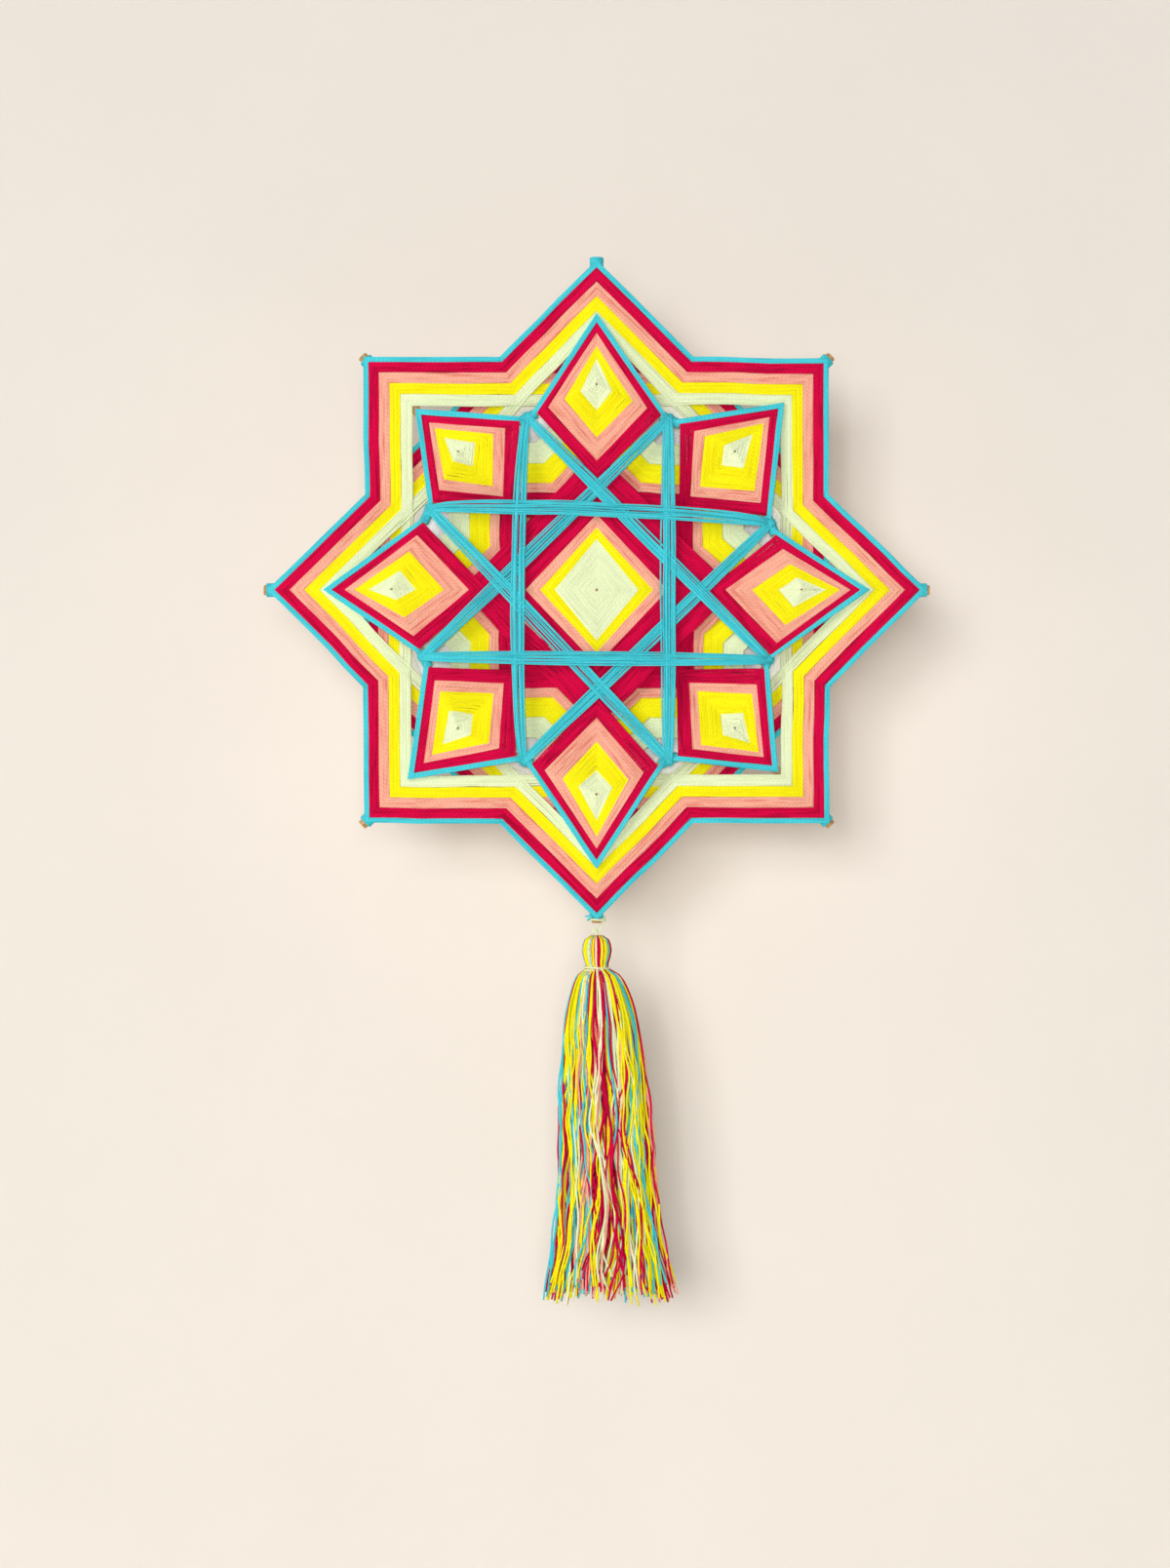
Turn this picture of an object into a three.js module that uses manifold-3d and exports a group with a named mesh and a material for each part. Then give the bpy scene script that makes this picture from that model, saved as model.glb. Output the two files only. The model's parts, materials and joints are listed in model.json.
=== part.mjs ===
// Eight-pointed ojo de dios: four crossed sticks wound with an interlaced yarn star, a round of
// eight small kite-shaped eyes on short sticks, a turquoise thread net and a hanging tassel.
// Units are millimetres. +X is right, +Z is up, the front faces -Y.
// The origin is the point at the top corner where the ornament hangs on its nail.

import * as THREE from 'three';
import { mergeVertices } from 'three/addons/utils/BufferGeometryUtils.js';
import Module from 'manifold-3d';

const wasm = await Module();
wasm.setup();

// Sticks
const STICK_LENGTH = 400;
const STICK_DIAMETER = 6;
const STICK_END_CHAMFER = 0.5;
const STICK_BARE_END = 2.01;
const SHORT_STICK_DIAMETER = 4;
const SHORT_STICK_END_GAP = 1.6;
const NAIL_DIAMETER = 3;

// Yarn sheets and fits
const SHEET_THICKNESS = 1;
const CLEARANCE = 0.3;
const BAND_GAP = 0.4;
const WRAP_WALL = 0.65;

// Outer star, widths listed from the outside in; its corners leave the stick ends bare
const OUTER_BANDS = [
  { colour: 'turquoise', width: 3.1 },
  { colour: 'crimson', width: 6.2 },
  { colour: 'salmon', width: 6.2 },
  { colour: 'yellow', width: 6.5 },
  { colour: 'mint', width: 5.3 },
];

// Inner star, widths listed from the outside in
const INNER_APOTHEM = 88.4;
const INNER_BANDS = [
  { colour: 'mint', width: 12.4 },
  { colour: 'yellow', width: 11.85 },
  { colour: 'salmon', width: 5.65 },
  { colour: 'crimson', width: 14.6 },
];

// Rear white web, radii measured along the sticks
const WEB_INNER_RADIUS = 88;
const WEB_OUTER_RADIUS = 128;

// Central eye, half diagonals of each colour from the middle out
const EYE_BANDS = [
  { colour: 'mint', upright: 30.4, level: 25.2 },
  { colour: 'yellow', upright: 37.4, level: 33.9 },
  { colour: 'salmon', upright: 45, level: 42.7 },
  { colour: 'crimson', upright: 61.5, level: 61.5 },
];

// Kites, corner distances from the kite's middle: outward, inward and along the short sticks
const CARDINAL_KITE = {
  radius: 123,
  bands: [
    { colour: 'mint', out: 15.8, in: 15.2, side: 10.5 },
    { colour: 'yellow', out: 23.4, in: 31.6, side: 22.2 },
    { colour: 'salmon', out: 31, in: 45.6, side: 32.8 },
    { colour: 'crimson', out: 37.4, in: 56.2, side: 41 },
  ],
  border: { out: 39.8, side: 46.8 },
};
const DIAGONAL_KITE = {
  radius: 117.6,
  bands: [
    { colour: 'mint', out: 12.3, in: 12.3, side: 9.4 },
    { colour: 'yellow', out: 19.9, in: 29.3, side: 21.1 },
    { colour: 'salmon', out: 25.2, in: 38.6, side: 28.7 },
    { colour: 'crimson', out: 32.2, in: 46.8, side: 36.9 },
  ],
  border: { out: 36.3, side: 42.7 },
};
const KITE_EYELET = 1;
const KITE_BAND_STEP = 0.8;

// Turquoise net
const NET_STRAND_WIDTH = 7.6;
const NET_TIE_LENGTH = 5;

// Tassel
const THREAD_DIAMETER = 1.2;
const TIE_TURNS = 1;
const THREAD_PITCH = 1.75;
const EYELET_RADIUS = 2.3;
const LINK_RADIUS = 2.4;
const LINK_CUT_PLAY = 0.4;
const HEAD_TOP_BELOW_LINK = 0.6;
const HEAD_WIDTH = 18.7;
const HEAD_LENGTH = 18;
const NECK_WIDTH = 13.4;
const NECK_TIE_TURNS = 2;
const NECK_TIE_DIAMETER = 1.1;
const NECK_TIE_PITCH = 1.55;
const SHOULDER_WIDTH = 46;
const SKIRT_WIDTH = 61;
const HEM_WIDTH = 74;
const TASSEL_LENGTH = 221;
const HEAD_DEPTH_RATIO = 0.85;
const SKIRT_DEPTH_RATIO = 0.52;
const LOCKS = 15;
const LOCK_DEPTH = 0.1;
const HEM_RAGGEDNESS = 9;
const HEM_HOLLOW = 14;
const EYELET_START_DEG = 20;
const EYELET_SWEEP_DEG = 228;

// Tassel outline: parts of the head's length with half widths as parts of the head's width,
// then the same for the skirt as parts of the tassel's length and the skirt's width
const HEAD_OUTLINE = [[0, 0.3], [0.15, 0.42], [0.5, 0.5], [0.85, 0.42]];
const SPREAD_BELOW_TIE = 3.6;
const SPREAD_PART = 0.36;
const SHOULDER_AT = 0.22;
const SKIRT_FULL_AT = 0.36;
const SKIRT_OUTLINE = [[SKIRT_FULL_AT, 0.45], [0.55, 0.5], [0.8, 0.52]];
const LOCK_WANDER = 0.25;
const HEM_LOCK_STEP = 2.4;
const HEM_FLANK = 0.4;

// Facet counts
const STICK_SIDES = 16;
const SHORT_STICK_SIDES = 10;
const WRAP_SIDES = 8;
const THREAD_SIDES = 6;
const THREAD_STEPS_PER_TURN = 16;
const POINTS_PER_LOCK = 3;
const SAME_STRETCH = 4;
const HANK_STEPS_PER_SPAN = 2;

const COLOURS = {
  turquoise: 0x46c8d7,
  crimson: 0xdc0f48,
  salmon: 0xfabd98,
  yellow: 0xfdee20,
  mint: 0xeaf6c2,
  white: 0xf0eef0,
  wood: 0xd9b27a,
};

// Sizes and depths that follow from the ones above; a smaller Y is nearer the viewer
const OUTER_APOTHEM = (STICK_LENGTH / 2 - STICK_BARE_END) / Math.SQRT2;
const STICK_RADIUS = STICK_DIAMETER / 2;
const SHORT_RADIUS = SHORT_STICK_DIAMETER / 2;
const HALF_SHEET = SHEET_THICKNESS / 2;
const FRONT_CROSS_Y = -(STICK_RADIUS + CLEARANCE / 2);
const REAR_CROSS_Y = STICK_RADIUS + CLEARANCE / 2;
const SHEET_SEAT = STICK_RADIUS + CLEARANCE + HALF_SHEET;
const SHEET_STEP = SHEET_THICKNESS + CLEARANCE;
const SHORT_SEAT = SHORT_RADIUS + CLEARANCE + HALF_SHEET;
const LEAST_SEAT = STICK_RADIUS + CLEARANCE / 8;
const STEEPEST_SHEET = Math.tan(Math.acos(LEAST_SEAT / (STICK_RADIUS + CLEARANCE)));
const FRONT_STAR_Y = FRONT_CROSS_Y - SHEET_SEAT;
const REAR_STAR_Y = REAR_CROSS_Y - SHEET_SEAT;
const WEB_Y = REAR_CROSS_Y + SHEET_SEAT + SHEET_STEP;
const WRAP_BORE = (STICK_RADIUS + CLEARANCE) / Math.cos(Math.PI / WRAP_SIDES);
const WRAP_RIM = WRAP_BORE + WRAP_WALL;

const ARM_COUNT = 8;
const SQRT2 = Math.SQRT2;
const ARM_NAMES = [
  'top', 'upper_right', 'right', 'lower_right', 'bottom', 'lower_left', 'left', 'upper_left',
];

// Unit vector along an arm, counted clockwise from the top.
function armDirection(arm) {
  const angle = (arm * 2 * Math.PI) / ARM_COUNT;
  return new THREE.Vector3(Math.sin(angle), 0, Math.cos(angle));
}

// The same point at another depth.
function atDepth(point, y) {
  return new THREE.Vector3(point.x, y, point.z);
}

function isCardinal(arm) {
  return arm % 2 === 0;
}

function outwardVolume(positions, index) {
  const a = new THREE.Vector3();
  const b = new THREE.Vector3();
  const c = new THREE.Vector3();
  let volume = 0;
  for (let i = 0; i < index.length; i += 3) {
    a.fromArray(positions, 3 * index[i]);
    b.fromArray(positions, 3 * index[i + 1]);
    c.fromArray(positions, 3 * index[i + 2]);
    volume += a.dot(b.cross(c)) / 6;
  }
  return volume;
}

function indexedGeometry(positions, index) {
  const geometry = new THREE.BufferGeometry();
  geometry.setAttribute('position', new THREE.Float32BufferAttribute(positions, 3));
  geometry.setIndex(index);
  return geometry;
}

// Whether the diagonal from a to c of a bent four-sided facet lies further from the middle plane than the other
// one. Both faces of a sheet then fold along the same line.
function standsOut(a, b, c, d) {
  const normal = new THREE.Vector3().crossVectors(b.clone().sub(a), d.clone().sub(a));
  const height = normal.dot(c.clone().sub(a));
  return height * normal.y * (a.y + b.y + c.y + d.y) >= 0;
}

// Closed surface through equal-length rings of points, either a loop of rings or capped at both ends.
function loft(rings, { loop = false, caps = null } = {}) {
  const count = rings[0].length;
  const positions = rings.flat().flatMap((point) => point.toArray());
  const index = [];
  const spans = loop ? rings.length : rings.length - 1;
  for (let r = 0; r < spans; r += 1) {
    const next = (r + 1) % rings.length;
    for (let i = 0; i < count; i += 1) {
      const j = (i + 1) % count;
      const [a, b, c, d] = [r * count + i, r * count + j, next * count + j, next * count + i];
      const foldsOnFirst = standsOut(rings[r][i], rings[r][j], rings[next][j], rings[next][i]);
      index.push(...(foldsOnFirst ? [a, b, c, a, c, d] : [a, b, d, b, c, d]));
    }
  }
  if (!loop) {
    const last = rings.length - 1;
    const middles = caps ?? [middleOf(rings[0]), middleOf(rings[last])];
    const firstCap = rings.length * count;
    middles.forEach((middle) => positions.push(...middle.toArray()));
    for (let i = 0; i < count; i += 1) {
      const j = (i + 1) % count;
      index.push(firstCap, j, i);
      index.push(firstCap + 1, last * count + i, last * count + j);
    }
  }
  if (outwardVolume(positions, index) < 0) {
    index.reverse();
  }
  return indexedGeometry(positions, index);
}

function middleOf(points) {
  const sum = points.reduce((total, point) => total.add(point), new THREE.Vector3());
  return sum.divideScalar(points.length);
}

function toSolid(geometry) {
  const plain = geometry.clone();
  plain.deleteAttribute('normal');
  plain.deleteAttribute('uv');
  const merged = mergeVertices(plain, 1e-4);
  return new wasm.Manifold(
    new wasm.Mesh({
      numProp: 3,
      vertProperties: new Float32Array(merged.attributes.position.array),
      triVerts: new Uint32Array(merged.index.array),
    }),
  );
}

function toGeometry(solid) {
  const mesh = solid.getMesh();
  return indexedGeometry(Array.from(mesh.vertProperties), Array.from(mesh.triVerts));
}

function join(geometries) {
  const solids = geometries.map(toSolid);
  return toGeometry(solids.reduce((total, solid) => total.add(solid)));
}

function cut(geometry, tools) {
  const solid = tools.map(toSolid).reduce((total, tool) => total.subtract(tool), toSolid(geometry));
  return toGeometry(solid);
}

function addMesh(group, name, geometry, colour) {
  const flat = geometry.index ? geometry.toNonIndexed() : geometry;
  flat.computeVertexNormals();
  const material = new THREE.MeshStandardMaterial({
    color: COLOURS[colour],
    roughness: colour === 'wood' ? 0.6 : 0.9,
    metalness: 0,
  });
  const mesh = new THREE.Mesh(flat, material);
  mesh.name = name;
  group.add(mesh);
}

// Four corners of a yarn sheet between an inner and an outer point, the sheet lying across Y.
function sheetSection(inner, outer) {
  const front = new THREE.Vector3(0, -HALF_SHEET, 0);
  const back = new THREE.Vector3(0, HALF_SHEET, 0);
  return [
    inner.clone().add(front),
    outer.clone().add(front),
    outer.clone().add(back),
    inner.clone().add(back),
  ];
}

// Straight round rod between two points.
function rod(start, end, stations, sides) {
  const axis = end.clone().sub(start).normalize();
  const helper = Math.abs(axis.y) < 0.9 ? new THREE.Vector3(0, 1, 0) : new THREE.Vector3(1, 0, 0);
  const across = new THREE.Vector3().crossVectors(axis, helper).normalize();
  const along = new THREE.Vector3().crossVectors(axis, across).normalize();
  const rings = stations.map(({ at, radius }) => {
    const middle = start.clone().addScaledVector(axis, at);
    return circle(middle, across, along, radius, sides);
  });
  return loft(rings);
}

function circle(middle, across, along, radius, sides) {
  const points = [];
  for (let i = 0; i < sides; i += 1) {
    const angle = Math.PI / 2 + (i * 2 * Math.PI) / sides;
    const point = middle.clone().addScaledVector(across, radius * Math.cos(angle));
    points.push(point.addScaledVector(along, radius * Math.sin(angle)));
  }
  return points;
}

// Round thread along a list of points, its section carried along without twist.
function thread(points, diameter) {
  const rings = [];
  let across = new THREE.Vector3(0.31, 0.87, 0.38).normalize();
  points.forEach((point, i) => {
    const before = points[Math.max(i - 1, 0)];
    const after = points[Math.min(i + 1, points.length - 1)];
    const axis = after.clone().sub(before).normalize();
    across = across.addScaledVector(axis, -across.dot(axis)).normalize();
    const along = new THREE.Vector3().crossVectors(axis, across);
    rings.push(circle(point, across, along, diameter / 2, THREAD_SIDES));
  });
  return loft(rings);
}

// Smallest clear distance between two stretches of one thread, measured on its points.
function leastGap(points, diameter) {
  const lengths = [0];
  for (let i = 1; i < points.length; i += 1) {
    lengths.push(lengths[i - 1] + points[i].distanceTo(points[i - 1]));
  }
  let least = Infinity;
  for (let i = 0; i < points.length; i += 1) {
    for (let j = i + 1; j < points.length; j += 1) {
      if (lengths[j] - lengths[i] > SAME_STRETCH * diameter) {
        least = Math.min(least, points[i].distanceTo(points[j]) - diameter);
      }
    }
  }
  return least;
}

// Crossed sticks: each pair is halved into one plane, the upright pair in front of the slanting pair.
function stickGeometry(arm, planeY, notchInFront) {
  const reach = armDirection(arm).multiplyScalar(STICK_LENGTH / 2);
  const start = atDepth(reach.clone().negate(), planeY);
  const end = atDepth(reach, planeY);
  const tip = STICK_RADIUS - STICK_END_CHAMFER;
  const stations = [
    { at: 0, radius: tip },
    { at: STICK_END_CHAMFER, radius: STICK_RADIUS },
    { at: STICK_LENGTH - STICK_END_CHAMFER, radius: STICK_RADIUS },
    { at: STICK_LENGTH, radius: tip },
  ];
  const notchWidth = STICK_DIAMETER + 2 * CLEARANCE;
  const notch = new THREE.BoxGeometry(2 * STICK_DIAMETER, STICK_DIAMETER, notchWidth);
  notch.rotateY((arm * 2 * Math.PI) / ARM_COUNT);
  const side = notchInFront ? -1 : 1;
  notch.translate(0, planeY + side * (STICK_RADIUS - CLEARANCE / 2), 0);
  return cut(rod(start, end, stations, STICK_SIDES), [notch]);
}

function addSticks(group) {
  addMesh(group, 'stick_upright', stickGeometry(0, FRONT_CROSS_Y, false), 'wood');
  addMesh(group, 'stick_level', stickGeometry(2, FRONT_CROSS_Y, true), 'wood');
  addMesh(group, 'stick_rising', stickGeometry(1, REAR_CROSS_Y, false), 'wood');
  addMesh(group, 'stick_falling', stickGeometry(3, REAR_CROSS_Y, true), 'wood');
}

// One square winding of the star. It lies in front of the sticks at its own corners, passes behind
// the other pair of sticks at the middle of each side, and changes places with the other square
// inside the crossing of their equal colours.
function squareWinding(firstArm, inner, outer, cornerY, middleY) {
  const swap = (SHEET_THICKNESS + CLEARANCE) / 2;
  const frontLine = outer + BAND_GAP / 2;
  const rearLine = inner - BAND_GAP / 2;
  const rings = [];
  for (let side = 0; side < 4; side += 1) {
    const arm = firstArm + 2 * side;
    const normal = armDirection(arm + 1);
    const towards = [armDirection(arm - 1), armDirection(arm + 3)];
    const station = (half, along, depth) => {
      const edges = [inner, outer].map((apothem) => {
        const point = normal.clone().multiplyScalar(apothem).addScaledVector(towards[half], along(apothem));
        return atDepth(point, depth);
      });
      return sheetSection(edges[0], edges[1]);
    };
    const frontAlong = (apothem) => SQRT2 * frontLine - apothem;
    const rearAlong = (apothem) => SQRT2 * rearLine - apothem;
    const fromStick = (inner - frontAlong(inner)) / SQRT2;
    const frontDepth = Math.min(-swap, cornerY + STEEPEST_SHEET * fromStick);
    const rearDepth = Math.max(swap, middleY - STEEPEST_SHEET * rearAlong(outer));
    rings.push(station(0, (apothem) => apothem, cornerY));
    rings.push(station(0, frontAlong, frontDepth));
    rings.push(station(0, rearAlong, rearDepth));
    rings.push(station(0, () => 0, middleY));
    rings.push(station(1, rearAlong, rearDepth));
    rings.push(station(1, frontAlong, frontDepth));
  }
  return loft(rings, { loop: true });
}

// Hollow sleeve between two ends of one axis.
function sleeve(ends, across, depth, bore, rim) {
  const circles = [
    circle(ends[0], across, depth, rim, WRAP_SIDES),
    circle(ends[1], across, depth, rim, WRAP_SIDES),
    circle(ends[1], across, depth, bore, WRAP_SIDES),
    circle(ends[0], across, depth, bore, WRAP_SIDES),
  ];
  return circles[0].map((unused, i) => circles.map((ring) => ring[i]));
}

// Yarn wound round one arm of a stick between two radii, its rounds slanting like the sides they come from.
function wrap(arm, from, to) {
  const direction = armDirection(arm);
  const across = armDirection(arm + 2);
  const depth = new THREE.Vector3(0, 1, 0);
  const ends = [from, to].map((radius) => atDepth(direction.clone().multiplyScalar(radius), armPlane(arm)));
  const rings = sleeve(ends, across, depth, WRAP_BORE, WRAP_RIM);
  rings.flat().forEach((point) => point.addScaledVector(direction, -Math.abs(point.dot(across))));
  return loft(rings, { loop: true });
}

// Both squares of one colour, knotted into one winding.
function starColour(inner, outer) {
  const front = squareWinding(0, inner, outer, FRONT_STAR_Y, -FRONT_STAR_Y);
  const rear = squareWinding(1, inner, outer, REAR_STAR_Y, -REAR_STAR_Y);
  return [front, rear];
}

function armPlane(arm) {
  return isCardinal(arm) ? FRONT_CROSS_Y : REAR_CROSS_Y;
}

// Inner and outer apothem of each colour of a star.
function bandEdges(bands, apothem) {
  let edge = apothem;
  return bands.map(({ colour, width }) => {
    const outer = edge - BAND_GAP / 2;
    edge -= width;
    return { colour, outer, inner: edge + BAND_GAP / 2 };
  });
}

function addOuterStar(group) {
  bandEdges(OUTER_BANDS, OUTER_APOTHEM).forEach(({ colour, inner, outer }) => {
    const pieces = starColour(inner, outer);
    for (let arm = 0; arm < ARM_COUNT; arm += 1) {
      pieces.push(wrap(arm, SQRT2 * inner, SQRT2 * outer));
    }
    addMesh(group, `outer_star_${colour}`, join(pieces), colour);
  });
}

function addInnerStar(group) {
  bandEdges(INNER_BANDS, INNER_APOTHEM).forEach(({ colour, inner, outer }) => {
    const pieces = starColour(inner, outer);
    if (colour === 'crimson') {
      for (let arm = 1; arm < ARM_COUNT; arm += 2) {
        pieces.push(wrap(arm, inner, outer));
      }
    }
    addMesh(group, `inner_star_${colour}`, join(pieces), colour);
  });
}

// White web wound stick to stick behind everything else.
function addRearWeb(group) {
  const rings = [];
  for (let arm = 0; arm < ARM_COUNT; arm += 1) {
    const inner = atDepth(armDirection(arm).multiplyScalar(WEB_INNER_RADIUS), WEB_Y);
    const outer = atDepth(armDirection(arm).multiplyScalar(WEB_OUTER_RADIUS), WEB_Y);
    rings.push(sheetSection(inner, outer));
  }
  addMesh(group, 'rear_web_white', loft(rings, { loop: true }), 'white');
}

// Central eye: nested diamonds on the front pair of sticks.
function addEye(group) {
  EYE_BANDS.forEach(({ colour, upright, level }, i) => {
    if (i === 0) {
      const outline = new THREE.Shape();
      outline.moveTo(0, upright);
      outline.lineTo(level, 0);
      outline.lineTo(0, -upright);
      outline.lineTo(-level, 0);
      const plate = new THREE.ExtrudeGeometry(outline, { depth: SHEET_THICKNESS, bevelEnabled: false });
      plate.rotateX(Math.PI / 2);
      plate.translate(0, FRONT_STAR_Y + HALF_SHEET, 0);
      addMesh(group, `eye_${colour}`, plate, colour);
      return;
    }
    const within = EYE_BANDS[i - 1];
    const step = SQRT2 * BAND_GAP;
    const rings = [0, 2, 4, 6].map((arm) => {
      const isUpright = arm % 4 === 0;
      const inner = (isUpright ? within.upright : within.level) + step;
      const outer = isUpright ? upright : level;
      const direction = armDirection(arm);
      const innerPoint = atDepth(direction.clone().multiplyScalar(inner), FRONT_STAR_Y);
      return sheetSection(innerPoint, atDepth(direction.clone().multiplyScalar(outer), FRONT_STAR_Y));
    });
    addMesh(group, `eye_${colour}`, loft(rings, { loop: true }), colour);
  });
}

// Frame of one kite: its middle, its two side arms and the depth of a sheet lying on it.
function kiteFrame(arm) {
  const kite = isCardinal(arm) ? CARDINAL_KITE : DIAGONAL_KITE;
  const middle = kiteMiddle(arm);
  const left = kiteMiddle(arm - 1).sub(middle);
  const right = kiteMiddle(arm + 1).sub(middle);
  const armLength = atDepth(left, 0).length();
  const slope = left.y / armLength;
  const seat = armPlane(arm) - SHEET_SEAT - SHEET_STEP;
  return {
    kite,
    middle,
    outward: armDirection(arm),
    left: atDepth(left, 0).normalize(),
    right: atDepth(right, 0).normalize(),
    armLength,
    at: (direction, distance, y) => atDepth(middle.clone().addScaledVector(direction, distance), y),
    sideDepth: (distance) => middle.y + slope * distance - SHORT_SEAT,
    radialDepth: (distance) => {
      const inside = Math.min(distance / kite.bands[0].out, 1);
      return THREE.MathUtils.lerp(middle.y - SHORT_SEAT, seat, inside);
    },
    seat,
  };
}

// Crossing of a kite's short sticks with its arm, on the axis of the short sticks.
function kiteMiddle(arm) {
  const wrapped = (arm + ARM_COUNT) % ARM_COUNT;
  const radius = isCardinal(wrapped) ? CARDINAL_KITE.radius : DIAGONAL_KITE.radius;
  const y = armPlane(wrapped) - SHEET_SEAT - HALF_SHEET - CLEARANCE - SHORT_RADIUS;
  return atDepth(armDirection(wrapped).multiplyScalar(radius), y);
}

// Two short sticks lashed across one upright or level arm and reaching to its slanting neighbours.
function addShortSticks(group) {
  for (let arm = 0; arm < ARM_COUNT; arm += 2) {
    const middle = kiteMiddle(arm);
    const pair = [arm - 1, arm + 1].map((neighbour) => {
      const end = kiteMiddle(neighbour);
      const length = middle.distanceTo(end) - SHORT_STICK_END_GAP;
      const stations = [{ at: 0, radius: SHORT_RADIUS }, { at: length, radius: SHORT_RADIUS }];
      return rod(middle, end, stations, SHORT_STICK_SIDES);
    });
    addMesh(group, `short_sticks_${ARM_NAMES[arm]}`, join(pair), 'wood');
  }
}

function addKites(group) {
  for (let arm = 0; arm < ARM_COUNT; arm += 1) {
    const frame = kiteFrame(arm);
    frame.kite.bands.forEach((band, i) => {
      const within = i > 0 ? frame.kite.bands[i - 1] : null;
      const from = (key) => (within ? within[key] + KITE_BAND_STEP : KITE_EYELET);
      const corner = (direction, key, depth) => sheetSection(
        frame.at(direction, from(key), depth(from(key))),
        frame.at(direction, band[key], depth(band[key])),
      );
      const inward = frame.outward.clone().negate();
      const rings = [
        corner(frame.outward, 'out', frame.radialDepth),
        corner(frame.right, 'side', frame.sideDepth),
        corner(inward, 'in', frame.radialDepth),
        corner(frame.left, 'side', frame.sideDepth),
      ];
      addMesh(group, `kite_${ARM_NAMES[arm]}_${band.colour}`, loft(rings, { loop: true }), band.colour);
    });
  }
}

// Meeting point of two neighbouring kites, half-way between their borders.
function meetingDistance(frame) {
  const own = frame.kite.border.side;
  const other = frame.kite === CARDINAL_KITE ? DIAGONAL_KITE.border.side : CARDINAL_KITE.border.side;
  return own + (frame.armLength - own - other) / 2;
}

function kiteMeeting(arm) {
  const frame = kiteFrame(arm);
  const distance = meetingDistance(frame);
  return atDepth(frame.middle.clone().addScaledVector(frame.right, distance), frame.sideDepth(distance));
}

// Flat bundle of threads from one meeting point to the third one on.
function netChord(arm, y) {
  const start = kiteMeeting(arm);
  const end = kiteMeeting((arm + 3) % ARM_COUNT);
  const along = end.clone().sub(start).normalize();
  start.addScaledVector(along, -SHEET_STEP);
  end.addScaledVector(along, SHEET_STEP);
  const across = new THREE.Vector3(0, 1, 0).cross(along);
  const half = NET_STRAND_WIDTH / 2;
  const rings = [start, end].map((point) => sheetSection(
    atDepth(point.clone().addScaledVector(across, -half), y),
    atDepth(point.clone().addScaledVector(across, half), y),
  ));
  return loft(rings);
}

// Border threads from one meeting point over the kite's tip to the other.
function kiteBorder(arm) {
  const frame = kiteFrame(arm);
  const crimson = frame.kite.bands.at(-1);
  const innerSide = crimson.side + KITE_BAND_STEP;
  const outerSide = meetingDistance(frame) - CLEARANCE;
  const tipY = frame.seat - SHEET_STEP;
  const side = (direction) => sheetSection(
    frame.at(direction, innerSide, frame.sideDepth(innerSide)),
    frame.at(direction, outerSide, frame.sideDepth(outerSide)),
  );
  const tip = sheetSection(
    frame.at(frame.outward, crimson.out + KITE_BAND_STEP, tipY),
    frame.at(frame.outward, frame.kite.border.out + KITE_BAND_STEP, tipY),
  );
  return loft([side(frame.left), tip, side(frame.right)]);
}

// Small lashing that ties two kites together on their short stick.
function netTie(arm) {
  const frame = kiteFrame(arm);
  const axis = kiteMiddle(arm + 1).sub(frame.middle).normalize();
  const distance = meetingDistance(frame) / atDepth(axis, 0).length();
  const point = (offset) => frame.middle.clone().addScaledVector(axis, distance + offset);
  const across = new THREE.Vector3().crossVectors(axis, new THREE.Vector3(0, 1, 0)).normalize();
  const depth = new THREE.Vector3().crossVectors(across, axis).normalize();
  const bore = (SHORT_RADIUS + CLEARANCE) / Math.cos(Math.PI / WRAP_SIDES);
  const rim = bore + WRAP_WALL + CLEARANCE;
  const half = NET_TIE_LENGTH / 2;
  return loft(sleeve([point(-half), point(half)], across, depth, bore, rim), { loop: true });
}

function addNet(group) {
  const frame = kiteFrame(0);
  const rise = frame.sideDepth(NET_STRAND_WIDTH) - frame.sideDepth(0);
  const lowerY = kiteMeeting(0).y - rise;
  const pieces = [];
  for (let arm = 0; arm < ARM_COUNT; arm += 1) {
    const isLevelOrUpright = !isCardinal(arm);
    pieces.push(netChord(arm, isLevelOrUpright ? lowerY - HALF_SHEET : lowerY));
    pieces.push(kiteBorder(arm));
    pieces.push(netTie(arm));
  }
  addMesh(group, 'net_turquoise', join(pieces), 'turquoise');
}

// Tassel, hung from a thread eyelet under the bottom end of the upright stick
const STICK_END_Z = -STICK_LENGTH / 2;
const THREAD_RADIUS = THREAD_DIAMETER / 2;
const EYELET_Z = STICK_END_Z - CLEARANCE - EYELET_RADIUS - THREAD_RADIUS;
const LINK_TOP_Z = EYELET_Z - EYELET_RADIUS + THREAD_DIAMETER + CLEARANCE;
const LINK_Z = LINK_TOP_Z - LINK_RADIUS;
const HEAD_TOP_Z = LINK_Z - HEAD_TOP_BELOW_LINK;

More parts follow.
